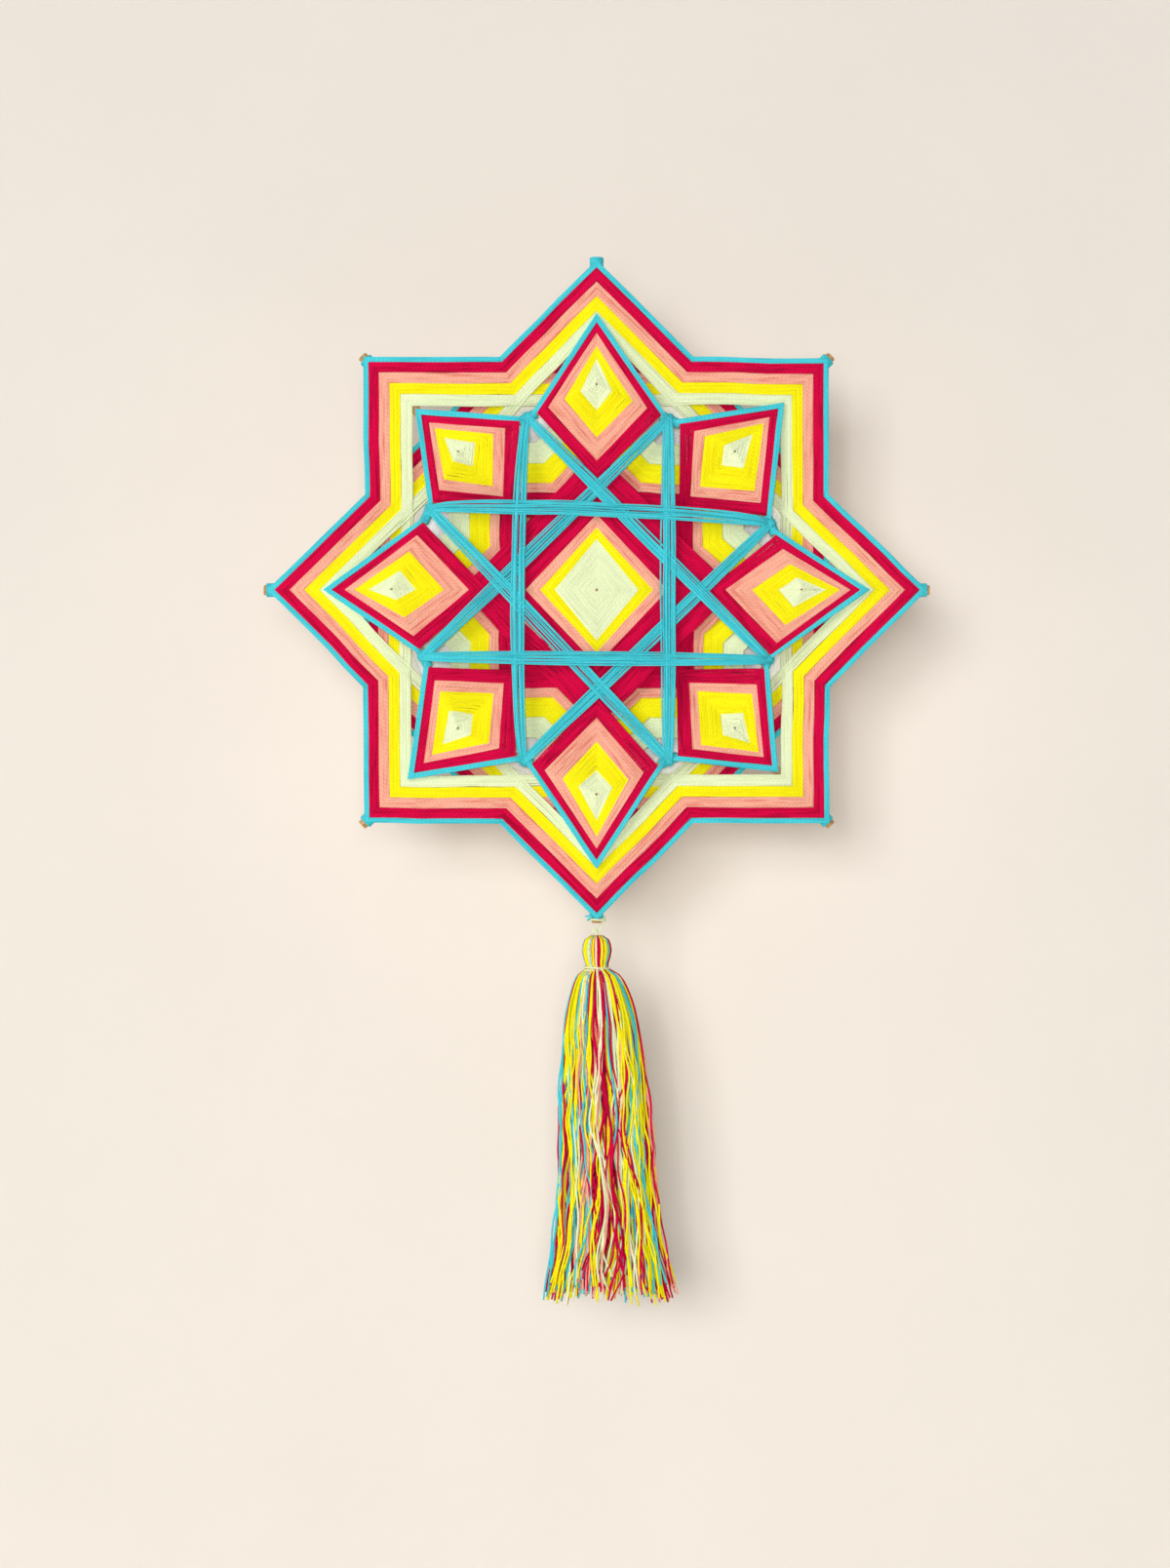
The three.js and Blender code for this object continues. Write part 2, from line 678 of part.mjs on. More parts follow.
// Thread wound round the bottom corner and led down into an open eyelet.
function tiePoints() {
  const radius = WRAP_RIM + CLEARANCE + THREAD_RADIUS;
  const turquoise = bandEdges(OUTER_BANDS, OUTER_APOTHEM)[0];
  const lowest = -SQRT2 * turquoise.outer;
  const points = [];
  const steps = TIE_TURNS * THREAD_STEPS_PER_TURN;
  for (let i = 0; i <= steps; i += 1) {
    const turn = i / THREAD_STEPS_PER_TURN;
    const angle = 2 * Math.PI * (turn - TIE_TURNS);
    const z = lowest - THREAD_RADIUS + (TIE_TURNS - turn) * THREAD_PITCH;
    points.push(new THREE.Vector3(radius * Math.cos(angle), FRONT_CROSS_Y + radius * Math.sin(angle), z));
  }
  const eyeletSteps = THREAD_STEPS_PER_TURN;
  for (let i = 0; i <= eyeletSteps; i += 1) {
    const degrees = EYELET_START_DEG - (EYELET_SWEEP_DEG * i) / eyeletSteps;
    const angle = THREE.MathUtils.degToRad(degrees);
    const x = EYELET_RADIUS * Math.cos(angle);
    const z = EYELET_Z + EYELET_RADIUS * Math.sin(angle);
    points.push(new THREE.Vector3(x, FRONT_CROSS_Y, z));
  }
  return new THREE.CatmullRomCurve3(points).getPoints(points.length);
}

function addTie(group) {
  const points = tiePoints();
  console.log(`tassel_tie least gap ${leastGap(points, THREAD_DIAMETER).toFixed(2)} mm`);
  addMesh(group, 'tassel_tie', thread(points, THREAD_DIAMETER), 'mint');
}

function linkTorus(tubeRadius) {
  const torus = new THREE.TorusGeometry(LINK_RADIUS, tubeRadius, THREAD_SIDES, THREAD_STEPS_PER_TURN);
  torus.rotateY(Math.PI / 2);
  torus.translate(0, FRONT_CROSS_Y, LINK_Z);
  return torus;
}

function addLink(group) {
  addMesh(group, 'tassel_link', linkTorus(THREAD_RADIUS), 'mint');
}

// Half width of the yarn bundle at a distance below the top of its head.
const HANK_OUTLINE = new THREE.SplineCurve([
  ...HEAD_OUTLINE.map(([part, half]) => new THREE.Vector2(part * HEAD_LENGTH, half * HEAD_WIDTH)),
  new THREE.Vector2(HEAD_LENGTH, NECK_WIDTH / 2),
  new THREE.Vector2(HEAD_LENGTH + neckTieHeight(), NECK_WIDTH / 2),
  new THREE.Vector2(HEAD_LENGTH + neckTieHeight() + SPREAD_BELOW_TIE, SPREAD_PART * SHOULDER_WIDTH),
  new THREE.Vector2(SHOULDER_AT * TASSEL_LENGTH, SHOULDER_WIDTH / 2),
  ...SKIRT_OUTLINE.map(([part, half]) => new THREE.Vector2(part * TASSEL_LENGTH, half * SKIRT_WIDTH)),
  new THREE.Vector2(TASSEL_LENGTH - HEM_RAGGEDNESS, HEM_WIDTH / 2),
]);

function neckTieHeight() {
  return NECK_TIE_TURNS * NECK_TIE_PITCH + NECK_TIE_DIAMETER;
}

function depthRatio(drop) {
  const along = THREE.MathUtils.smoothstep(drop, HEAD_LENGTH, SKIRT_FULL_AT * TASSEL_LENGTH);
  return THREE.MathUtils.lerp(HEAD_DEPTH_RATIO, SKIRT_DEPTH_RATIO, along);
}

// Locks of yarn: a rippled oval section whose ripples wander as they fall.
function hankRing(drop, halfWidth, raggedness) {
  const count = LOCKS * POINTS_PER_LOCK;
  const tieEnd = HEAD_LENGTH + neckTieHeight();
  const skirt = THREE.MathUtils.smoothstep(drop, tieEnd, SKIRT_FULL_AT * TASSEL_LENGTH);
  const ring = [];
  for (let i = 0; i < count; i += 1) {
    const angle = (i * 2 * Math.PI) / count;
    const wander = LOCK_WANDER * skirt * Math.sin(drop / HEAD_WIDTH + 2 * angle);
    const ripple = 1 - (LOCK_DEPTH * skirt * (1 + Math.cos(LOCKS * angle + wander))) / 2;
    const lock = Math.floor(i / POINTS_PER_LOCK);
    const share = i % POINTS_PER_LOCK === 1 ? 1 : HEM_FLANK;
    const ragged = raggedness * Math.sin(lock * HEM_LOCK_STEP) * share;
    const x = halfWidth * ripple * Math.cos(angle);
    const y = halfWidth * depthRatio(drop) * ripple * Math.sin(angle);
    ring.push(new THREE.Vector3(x, FRONT_CROSS_Y + y, HEAD_TOP_Z - drop - ragged));
  }
  return ring;
}

function addHank(group) {
  const outline = HANK_OUTLINE.getPoints(HANK_STEPS_PER_SPAN * (HANK_OUTLINE.points.length - 1));
  const last = outline.length - 1;
  const rings = outline.map((point, i) => hankRing(point.x, point.y, i === last ? HEM_RAGGEDNESS : 0));
  const top = new THREE.Vector3(0, FRONT_CROSS_Y, HEAD_TOP_Z);
  const hollow = new THREE.Vector3(0, FRONT_CROSS_Y, HEAD_TOP_Z - outline[last].x + HEM_HOLLOW);
  const bundle = loft(rings, { caps: [top, hollow] });
  const clear = linkTorus(THREAD_RADIUS + LINK_CUT_PLAY);
  addMesh(group, 'tassel_hank', cut(bundle, [clear]), 'crimson');
}

// Thread wound round the neck of the tassel.
function addNeckTie(group) {
  const points = [];
  const steps = NECK_TIE_TURNS * THREAD_STEPS_PER_TURN;
  const seat = CLEARANCE + NECK_TIE_DIAMETER / 2;
  const halfWidth = NECK_WIDTH / 2 + seat;
  const halfDepth = (NECK_WIDTH / 2) * HEAD_DEPTH_RATIO + seat;
  for (let i = 0; i <= steps; i += 1) {
    const turn = i / THREAD_STEPS_PER_TURN;
    const angle = 2 * Math.PI * turn;
    const drop = HEAD_LENGTH + NECK_TIE_DIAMETER / 2 + turn * NECK_TIE_PITCH;
    const x = halfWidth * Math.cos(angle);
    const y = FRONT_CROSS_Y + halfDepth * Math.sin(angle);
    points.push(new THREE.Vector3(x, y, HEAD_TOP_Z - drop));
  }
  console.log(`tassel_neck_tie least gap ${leastGap(points, NECK_TIE_DIAMETER).toFixed(2)} mm`);
  addMesh(group, 'tassel_neck_tie', thread(points, NECK_TIE_DIAMETER), 'mint');
}

// The nail catches the lowest wrap of the top corner, behind the upright stick.
const NAIL_HEIGHT = SQRT2 * bandEdges(OUTER_BANDS, OUTER_APOTHEM).at(-1).inner - NAIL_DIAMETER / 2;

const ojo = new THREE.Group();
const star = new THREE.Group();
star.position.z = -NAIL_HEIGHT;
ojo.add(star);
addSticks(star);
addShortSticks(star);
addOuterStar(star);
addInnerStar(star);
addRearWeb(star);
addEye(star);
addKites(star);
addNet(star);
addTie(star);
addLink(star);
addHank(star);
addNeckTie(star);

export default ojo;
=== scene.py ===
"""Looks of an ojo de dios: strand-level yarn windings, a thread net and a tassel on crossed sticks.

Lengths in the windings are millimetres. The star's middle is the working origin, +X is right, +Z is up and
the front faces -Y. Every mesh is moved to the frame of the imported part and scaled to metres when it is
built. The stage is in metres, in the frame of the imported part. Paths of strands are arrays of the shape
(strands, points, 3).
"""

from __future__ import annotations

import json
import logging
import math
from dataclasses import dataclass, field
from enum import Enum

import bpy
import numpy as np
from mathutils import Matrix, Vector

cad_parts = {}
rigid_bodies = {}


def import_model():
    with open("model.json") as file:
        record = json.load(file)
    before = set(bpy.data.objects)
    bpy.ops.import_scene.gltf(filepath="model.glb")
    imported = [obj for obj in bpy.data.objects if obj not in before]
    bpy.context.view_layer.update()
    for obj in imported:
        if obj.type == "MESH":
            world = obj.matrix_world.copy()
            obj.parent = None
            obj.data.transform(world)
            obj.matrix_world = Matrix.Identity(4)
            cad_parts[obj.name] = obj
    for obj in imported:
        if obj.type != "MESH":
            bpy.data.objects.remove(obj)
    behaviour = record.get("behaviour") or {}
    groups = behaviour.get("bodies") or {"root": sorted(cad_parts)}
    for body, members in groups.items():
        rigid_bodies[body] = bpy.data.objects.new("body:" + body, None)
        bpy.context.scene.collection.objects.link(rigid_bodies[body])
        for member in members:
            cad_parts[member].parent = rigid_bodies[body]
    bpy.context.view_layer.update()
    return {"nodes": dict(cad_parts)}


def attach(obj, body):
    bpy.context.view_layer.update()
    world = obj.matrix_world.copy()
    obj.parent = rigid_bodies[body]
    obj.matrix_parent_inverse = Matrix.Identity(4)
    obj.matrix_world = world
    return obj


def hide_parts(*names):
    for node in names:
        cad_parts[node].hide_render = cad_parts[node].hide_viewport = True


LOG = logging.getLogger("ojo_de_dios")
Array = np.ndarray
Rng = np.random.Generator
Socket = bpy.types.NodeSocket
Material = bpy.types.Material
Object = bpy.types.Object
Colour = tuple[int, int, int]
Pair = tuple[float, float]
Place = tuple[float, float, float]
Corners = tuple[float, float, float, float]
MM = 0.001
SQRT2 = math.sqrt(2.0)
STAR_MIDDLE = np.array([0.0, 0.0, -158.1647])
DEPTH_AXIS = np.array([0.0, 1.0, 0.0])
FLAT = np.array([1.0, 0.0, 1.0])
ARM_NAMES = ("top", "upper_right", "right", "lower_right", "bottom", "lower_left", "left", "upper_left")


class Yarn(Enum):
    """Yarn colours of the ornament."""

    TURQUOISE = "turquoise"
    CRIMSON = "crimson"
    SALMON = "salmon"
    YELLOW = "yellow"
    MINT = "mint"
    WHITE = "white"


Yarns = dict[Yarn, Material]


class Body(Enum):
    """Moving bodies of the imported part."""

    FRAME = "frame"
    HANGER = "hanger"
    TASSEL = "tassel"


def linear(colour: Colour) -> tuple[float, float, float, float]:
    """Turn a display colour into scene-linear light.

    Args:
        colour: red, green and blue from 0 to 255.

    Returns:
        Linear red, green and blue with full opacity.
    """
    share = np.array(colour, float) / 255.0
    light = np.where(share <= 0.04045, share / 12.92, ((share + 0.055) / 1.055) ** 2.4)
    return (float(light[0]), float(light[1]), float(light[2]), 1.0)


def arm_direction(arm: float) -> Array:
    """Unit vector along an arm, counted clockwise from the top."""
    angle = arm * math.pi / 4.0
    return np.array([math.sin(angle), 0.0, math.cos(angle)])


def unit(vectors: Array) -> Array:
    """Vectors of the last axis, each divided by its length."""
    return vectors / np.maximum(np.linalg.norm(vectors, axis=-1, keepdims=True), 1e-9)


def circle(points: int) -> Array:
    """Angles of points spread evenly round a circle."""
    return np.arange(points) * 2.0 * np.pi / points


def between(start: Array, end: Array, points: int) -> Array:
    """Even points on the straight lines from start to end, the end left out.

    Args:
        start: first end of each line, shape (lines, dimensions).
        end: second end of each line, of the same shape.
        points: number of points on a line.

    Returns:
        Points, shape (lines, points, dimensions).
    """
    share = (np.arange(points) / points)[None, :, None]
    return start[:, None] * (1 - share) + end[:, None] * share


def wander(rng: Rng, count: int, steps: int, reach: float, waves: int = 5) -> Array:
    """Slow random drift of strands: a sum of sines whose height falls with their frequency.

    Args:
        rng: seeded source of the phases and heights.
        count: number of strands.
        steps: points along each strand.
        reach: about the largest drift, in millimetres.
        waves: number of sines, the first with one period along the strand.

    Returns:
        Drift of each point, shape (count, steps), the same at both ends of a closed strand.
    """
    along = np.arange(steps) / steps
    order = np.arange(1, waves + 1)
    phase = rng.uniform(0.0, 2.0 * np.pi, (count, waves, 1))
    height = rng.normal(0.0, 1.0, (count, waves, 1)) / np.sqrt(order)[None, :, None]
    drift = (height * np.sin(2.0 * np.pi * order[None, :, None] * along + phase)).sum(1)
    return reach * np.tanh(drift / 2.0)


def smooth_path(points: Array, per_span: int) -> Array:
    """Curve through the points: on each span a cubic whose end slopes join the neighbouring points.

    Args:
        points: control points, shape (n, dimensions).
        per_span: samples on each span.

    Returns:
        Samples along the curve, the last control point included.
    """
    first = 2.0 * points[0] - points[1]
    last = 2.0 * points[-1] - points[-2]
    padded = np.vstack([first, points, last])
    before, start, end, after = padded[:-3], padded[1:-2], padded[2:-1], padded[3:]
    share = (np.arange(per_span) / per_span)[None, :, None]
    curve = 0.5 * (
        2.0 * start[:, None]
        + (end - before)[:, None] * share
        + (2.0 * before - 5.0 * start + 4.0 * end - after)[:, None] * share**2
        + (3.0 * start - before - 3.0 * end + after)[:, None] * share**3
    )
    return np.vstack([curve.reshape(-1, points.shape[1]), points[-1]])


class Shader:
    """Small helper that adds nodes to one material or world and links them."""

    def __init__(self, owner: Material | bpy.types.World, output: str = "OutputMaterial") -> None:
        """Start an empty node tree with a surface output."""
        self.owner = owner
        owner.use_nodes = True
        self.tree = owner.node_tree
        self.tree.nodes.clear()
        self.output = self.add(output)

    def add(self, kind: str, settings: dict | None = None, **inputs: object) -> bpy.types.Node:
        """Add a node.

        Args:
            kind: node type without its ShaderNode prefix.
            settings: properties of the node itself.
            **inputs: values or sockets by input name, underscores for spaces, or in0, in1 by place.

        Returns:
            The new node.
        """
        node = self.tree.nodes.new("ShaderNode" + kind)
        for key, value in (settings or {}).items():
            setattr(node, key, value)
        for key, value in inputs.items():
            place = key[2:] if key.startswith("in") and key[2:].isdigit() else None
            socket = node.inputs[int(place)] if place else node.inputs[key.replace("_", " ")]
            if isinstance(value, Socket):
                self.tree.links.new(value, socket)
            else:
                socket.default_value = value
        return node

    def maths(self, operation: str, *values: object) -> Socket:
        """Result of one math node on numbers or sockets."""
        inputs = {f"in{i}": value for i, value in enumerate(values)}
        return self.add("Math", {"operation": operation}, **inputs).outputs[0]

    def mix(self, share: object, low: object, high: object) -> Socket:
        """Colour between low and high by a share."""
        node = self.add("Mix", {"data_type": "RGBA"}, in0=share, in6=low, in7=high)
        return node.outputs[2]

    def noise(self, place: Socket, scale: float, detail: float,
              roughness: float = 0.5) -> Socket:
        """Noise at a place, about 0.5 on average."""
        return self.add("TexNoise", Vector=place, Scale=scale, Detail=detail, Roughness=roughness).outputs[0]

    def span(self, value: Socket, limits: Pair) -> Socket:
        """Value as a share of the way between two limits, from 0 to 1."""
        return self.add("MapRange", Value=value, in1=limits[0], in2=limits[1]).outputs[0]

    def surface(self, socket: Socket) -> Material | bpy.types.World:
        """Use a shader as the surface and return the material or world."""
        self.tree.links.new(socket, self.output.inputs["Surface"])
        return self.owner


@dataclass(frozen=True)
class YarnFinish:
    """Matt plied yarn: paler on each ply's crown, with painted shade in the ply grooves and along parts of a
    strand.
    """

    crown: Colour
    # Painted shade: the tone that the grooves between plies take.
    groove_shade: Colour
    # Painted shade: how far random stretches of a strand are drawn towards the grooves' shade tone.
    streak_shade: float
    spread: float = 0.05
    fibre: float = 0.07
    roughness: float = 0.9
    gloss: float = 0.1
    sheen: float = 0.02
    fuzz_scale: float = 1600.0
    lane_scale: Pair = (0.09, 83.0)
    streak_shade_range: Pair = (0.47, 0.68)
    lit_range: Pair = (-0.9, 0.7)
    fuzz_height: float = 0.5
    bump: float = 0.55
    relief: float = 0.0002

    def material(self, name: str) -> Material:
        """Build the material.

        Args:
            name: name of the material.

        Returns:
            The material, which reads the strands' own ply map and tint.
        """
        shader = Shader(bpy.data.materials.new(name))
        ply = shader.add("UVMap", {"uv_map": "ply"}).outputs[0]
        parted = shader.add("SeparateXYZ", in0=ply).outputs
        turn = shader.maths("MULTIPLY", shader.maths("FRACT", parted[0]), math.pi)
        ridge = shader.maths("SINE", turn)
        place = shader.add("TexCoord").outputs["Object"]
        fuzz = shader.noise(place, self.fuzz_scale, 3.0, 0.6)
        tint = shader.add("Attribute", {"attribute_name": "tint"}).outputs["Fac"]
        lane = shader.add("CombineXYZ", in0=shader.maths("MULTIPLY", parted[1], self.lane_scale[0]),
                          in1=shader.maths("MULTIPLY", tint, self.lane_scale[1])).outputs[0]
        # Painted shade: random stretches along each strand are darkened towards the grooves' shade tone.
        stretch_shade = shader.span(shader.noise(lane, 1.0, 3.0, 0.6), self.streak_shade_range)
        plain = shader.maths("MULTIPLY_ADD", stretch_shade, -self.streak_shade, 1.0)
        # Painted shade: the grooves between plies take the shade tone and the crowns the yarn's own colour.
        lit = shader.span(ridge, self.lit_range)
        colour = shader.mix(shader.maths("MULTIPLY", lit, plain), linear(self.groove_shade), linear(self.crown))
        by_strand = shader.maths("MULTIPLY_ADD", tint, self.spread, 1.0 - self.spread)
        by_fibre = shader.maths("MULTIPLY_ADD", fuzz, 2.0 * self.fibre, -self.fibre)
        value = shader.maths("ADD", by_strand, by_fibre)
        toned = shader.add("HueSaturation", Value=value, Color=colour).outputs[0]
        height = shader.maths("MULTIPLY_ADD", fuzz, self.fuzz_height, ridge)
        bump = shader.add("Bump", Strength=self.bump, Distance=self.relief, Height=height).outputs[0]
        yarn = shader.add(
            "BsdfPrincipled", Base_Color=toned, Roughness=self.roughness, Specular_IOR_Level=self.gloss,
            Sheen_Weight=self.sheen, Normal=bump,
        )
        return shader.surface(yarn.outputs[0])


@dataclass(frozen=True)
class StickFinish:
    """Round wooden stick: long grain along one arm, a browner skin and a pale sawn end."""

    pale: Colour = (226, 186, 128)
    dark: Colour = (158, 108, 56)
    sawn: Colour = (246, 219, 168)
    sawn_ring: Colour = (226, 188, 130)
    end_radius: float = 199.8
    grain_scale: float = 900.0
    grain_stretch: float = 22.0
    grain_range: Pair = (0.34, 0.68)
    ring_scale: float = 1400.0
    roughness: float = 0.62
    bump: float = 0.3
    relief: float = 0.0002

    def material(self, name: str, arm: float) -> Material:
        """Build the material.

        Args:
            name: name of the material.
            arm: arm that the grain runs along.

        Returns:
            The material.
        """
        shader = Shader(bpy.data.materials.new(name))
        place = shader.add("TexCoord").outputs["Object"]
        middle = tuple(STAR_MIDDLE * MM)
        turned = shader.add(
            "Mapping", {"vector_type": "TEXTURE"}, Vector=place, Location=middle,
            Rotation=(0.0, arm * math.pi / 4.0, 0.0), Scale=(1.0, 1.0, self.grain_stretch),
        ).outputs[0]
        grain = shader.noise(turned, self.grain_scale, 6.0, 0.62)
        skin = shader.mix(shader.span(grain, self.grain_range), linear(self.dark), linear(self.pale))
        rings = shader.noise(place, self.ring_scale, 4.0)
        end = shader.mix(rings, linear(self.sawn_ring), linear(self.sawn))
        apart = shader.add("VectorMath", {"operation": "SUBTRACT"}, in0=place, in1=middle).outputs[0]
        flat = shader.add("VectorMath", {"operation": "MULTIPLY"}, in0=apart, in1=tuple(FLAT)).outputs[0]
        reach = shader.add("VectorMath", {"operation": "LENGTH"}, in0=flat).outputs["Value"]
        at_end = shader.maths("GREATER_THAN", reach, self.end_radius * MM)
        colour = shader.mix(at_end, skin, end)
        bump = shader.add("Bump", Strength=self.bump, Distance=self.relief, Height=grain).outputs[0]
        wood = shader.add("BsdfPrincipled", Base_Color=colour, Roughness=self.roughness, Normal=bump)
        return shader.surface(wood.outputs[0])


# Each finish: the yarn's colour on the ply crowns, a painted shade tone for the grooves between plies, and
# the share of that shade along stretches of a strand.
FINISHES: dict[Yarn, YarnFinish] = {
    Yarn.TURQUOISE: YarnFinish((82, 218, 230), (42, 174, 190), 0.55),
    Yarn.CRIMSON: YarnFinish((228, 4, 74), (146, 0, 36), 0.8),
    Yarn.SALMON: YarnFinish((255, 190, 164), (226, 110, 98), 0.75),
    Yarn.YELLOW: YarnFinish((255, 248, 22), (248, 222, 4), 0.6),
    Yarn.MINT: YarnFinish((244, 253, 210), (216, 228, 172), 0.5),
    Yarn.WHITE: YarnFinish((255, 255, 255), (246, 245, 248), 0.3),
}


@dataclass
class StrandPiece:
    """Round plied strands gathered into one mesh.

    Each strand is a circle of the strand's radius carried along its path. The ply map counts plies round the
    strand plus turns along it, so that lines of equal value wind round the strand like its plies.
    """

    name: str
    radius: float = 0.6
    sides: int = 6
    plies: int = 2
    ply_pitch: float = 2.6
    phase_turns: float = 40.0
    least_mitre: float = 0.6
    vertices: list[Array] = field(default_factory=list)
    loops: list[Array] = field(default_factory=list)
    loop_totals: list[Array] = field(default_factory=list)
    maps: list[Array] = field(default_factory=list)
    tints: list[Array] = field(default_factory=list)
    used: int = 0

    def add(self, paths: Array, reference: Array, closed: bool, tints: Array) -> None:
        """Sweep a set of strands.

        Args:
            paths: paths of the strands.
            reference: a direction well away from the strands' own, which fixes the start of each circle.
            closed: whether each strand joins its own start.
            tints: tone of each strand from 0 to 1.
        """
        strands, points, _ = paths.shape
        first = paths[:, -1:] if closed else 2.0 * paths[:, :1] - paths[:, 1:2]
        last = paths[:, :1] if closed else 2.0 * paths[:, -1:] - paths[:, -2:-1]
        arriving = unit(paths - np.concatenate([first, paths[:, :-1]], 1))
        leaving = unit(np.concatenate([paths[:, 1:], last], 1) - paths)
        tangent = unit(arriving + leaving)
        bend = unit(leaving - arriving)[:, :, None]
        mitre = 1.0 / np.clip((arriving * tangent).sum(-1), self.least_mitre, 1.0)
        guide = np.broadcast_to(reference, paths.shape)
        normal = unit(guide - (guide * tangent).sum(-1, keepdims=True) * tangent)
        binormal = np.cross(tangent, normal)
        turn = circle(self.sides)
        ring = normal[:, :, None] * np.cos(turn)[:, None] + binormal[:, :, None] * np.sin(turn)[:, None]
        widened = (ring * bend).sum(-1, keepdims=True) * (mitre - 1.0)[:, :, None, None] * bend
        surface = paths[:, :, None] + self.radius * (ring + widened)
        self.vertices.append(surface.reshape(-1, 3))
        self.tints.append(np.repeat(tints, points * self.sides))

        index = np.arange(strands * points * self.sides).reshape(strands, points, self.sides) + self.used
        self.used += index.size
        here = index if closed else index[:, :-1]
        there = np.roll(index, -1, 1) if closed else index[:, 1:]
        quads = np.stack([here, np.roll(here, -1, 2), np.roll(there, -1, 2), there], -1)
        self.loops.append(quads.reshape(-1))
        self.loop_totals.append(np.full(quads[..., 0].size, 4))

        ahead = np.concatenate([paths[:, 1:], last], 1) if closed else paths[:, 1:]
        spans = np.linalg.norm(ahead - paths[:, : ahead.shape[1]], axis=-1)
        length = np.concatenate([np.zeros((strands, 1)), np.cumsum(spans, 1)], 1)
        length = length + self.phase_turns * self.ply_pitch * tints[:, None]
        start, end = length[:, :-1, None], length[:, 1:, None]
        low = self.plies * np.arange(self.sides) / self.sides
        high = low + self.plies / self.sides
        across = np.stack([low + start / self.ply_pitch, high + start / self.ply_pitch,
                           high + end / self.ply_pitch, low + end / self.ply_pitch], -1)
        zero = np.zeros_like(low)
        down = np.stack([zero + start, zero + start, zero + end, zero + end], -1) / self.ply_pitch
        self.maps.append(np.stack([across, down], -1).reshape(-1, 2))

        if not closed:
            caps = np.concatenate([index[:, 0, ::-1], index[:, -1]], 0)
            self.loops.append(caps.reshape(-1))
            self.loop_totals.append(np.full(len(caps), self.sides))
            self.maps.append(np.full((caps.size, 2), 0.5))

    def lay(self, paths: Array, rng: Rng) -> None:
        """Add closed strands side by side, each a little in front of its neighbours or behind them."""
        paths[..., 1] += rng.uniform(-LAYOUT.ruffle, LAYOUT.ruffle, (len(paths), 1))
        self.add(paths, DEPTH_AXIS, True, rng.random(len(paths)))

    def build(self, yarns: Yarns, yarn: Yarn, node: str, body: Body = Body.FRAME, slot: str = "") -> None:
        """Make the object, at the origin of the part's frame.

        Args:
            yarns: material of each yarn.
            yarn: yarn of the strands.
            node: solid that the piece stands for, alone or with others.
            body: body that carries the piece.
            slot: not used.
        """
        mesh = bpy.data.meshes.new(self.name)
        points = (np.concatenate(self.vertices) + STAR_MIDDLE) * MM
        loops = np.concatenate(self.loops).astype(np.int32)
        totals = np.concatenate(self.loop_totals).astype(np.int32)
        starts = np.concatenate([[0], np.cumsum(totals)[:-1]]).astype(np.int32)
        mesh.vertices.add(len(points))
        mesh.vertices.foreach_set("co", points.astype(np.float32).ravel())
        mesh.loops.add(len(loops))
        mesh.loops.foreach_set("vertex_index", loops)
        mesh.polygons.add(len(starts))
        mesh.polygons.foreach_set("loop_start", starts)
        mesh.polygons.foreach_set("use_smooth", np.ones(len(starts), bool))
        mesh.update(calc_edges=True)
        layer = mesh.uv_layers.new(name="ply")
        layer.data.foreach_set("uv", np.concatenate(self.maps).astype(np.float32).ravel())
        tint = mesh.attributes.new("tint", "FLOAT", "POINT")
        tint.data.foreach_set("value", np.concatenate(self.tints).astype(np.float32))
        mesh.materials.append(yarns[yarn])
        piece = bpy.data.objects.new(self.name, mesh)
        bpy.context.scene.collection.objects.link(piece)
        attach(piece, body.value)
        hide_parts(node)
        LOG.info("%s: %d faces", self.name, len(starts))


@dataclass(frozen=True)
class Layout:
    """Sizes shared by every winding, the same as in the solids."""

    stick_radius: float = 3.0
    short_radius: float = 2.0
    clearance: float = 0.3
    band_gap: float = 0.4
    sheet: float = 1.0
    cross_depth: float = 3.15
    steepest: float = 0.4245
    strand: float = 0.6
    pitch: float = 0.86
    ring_room: float = 0.05
    ring_points: int = 14
    ruffle: float = 0.12

    @property
    def seat(self) -> float:
        """Distance from a stick's axis to a strand that lies on it."""
        return self.stick_radius + self.clearance + self.sheet / 2.0

    def shares(self, width: float) -> Array:
        """Places of neighbouring strands across a band, as shares of its width."""
        strands = math.ceil(width / self.pitch)
        return (np.arange(strands) + 0.5) / strands

    def plane(self, arm: int) -> float:
        """Depth of the axis of an arm's stick."""
        return -self.cross_depth if arm % 2 == 0 else self.cross_depth

    def stick_loops(self, arm: int, radii: Array) -> Array:
        """Strands that pass behind one arm, at given distances from the star's middle."""
        middle = self.plane(arm) * DEPTH_AXIS
        return STICK_LOOP.paths(middle, arm_direction(arm), arm_direction(arm + 2), radii)

    def stick_rings(self, arm: int, places: Array) -> Array:
        """Closed circles round one arm.

        Args:
            arm: arm that is wound.
            places: distance of each circle from the star's middle.

        Returns:
            Closed paths.
        """
        turn = circle(self.ring_points)
        around = self.stick_radius + self.strand + self.ring_room
        ring = around * (np.cos(turn)[:, None] * arm_direction(arm + 2) + np.sin(turn)[:, None] * DEPTH_AXIS)
        middles = places[:, None] * arm_direction(arm) + self.plane(arm) * DEPTH_AXIS
        return middles[:, None] + ring


LAYOUT = Layout()


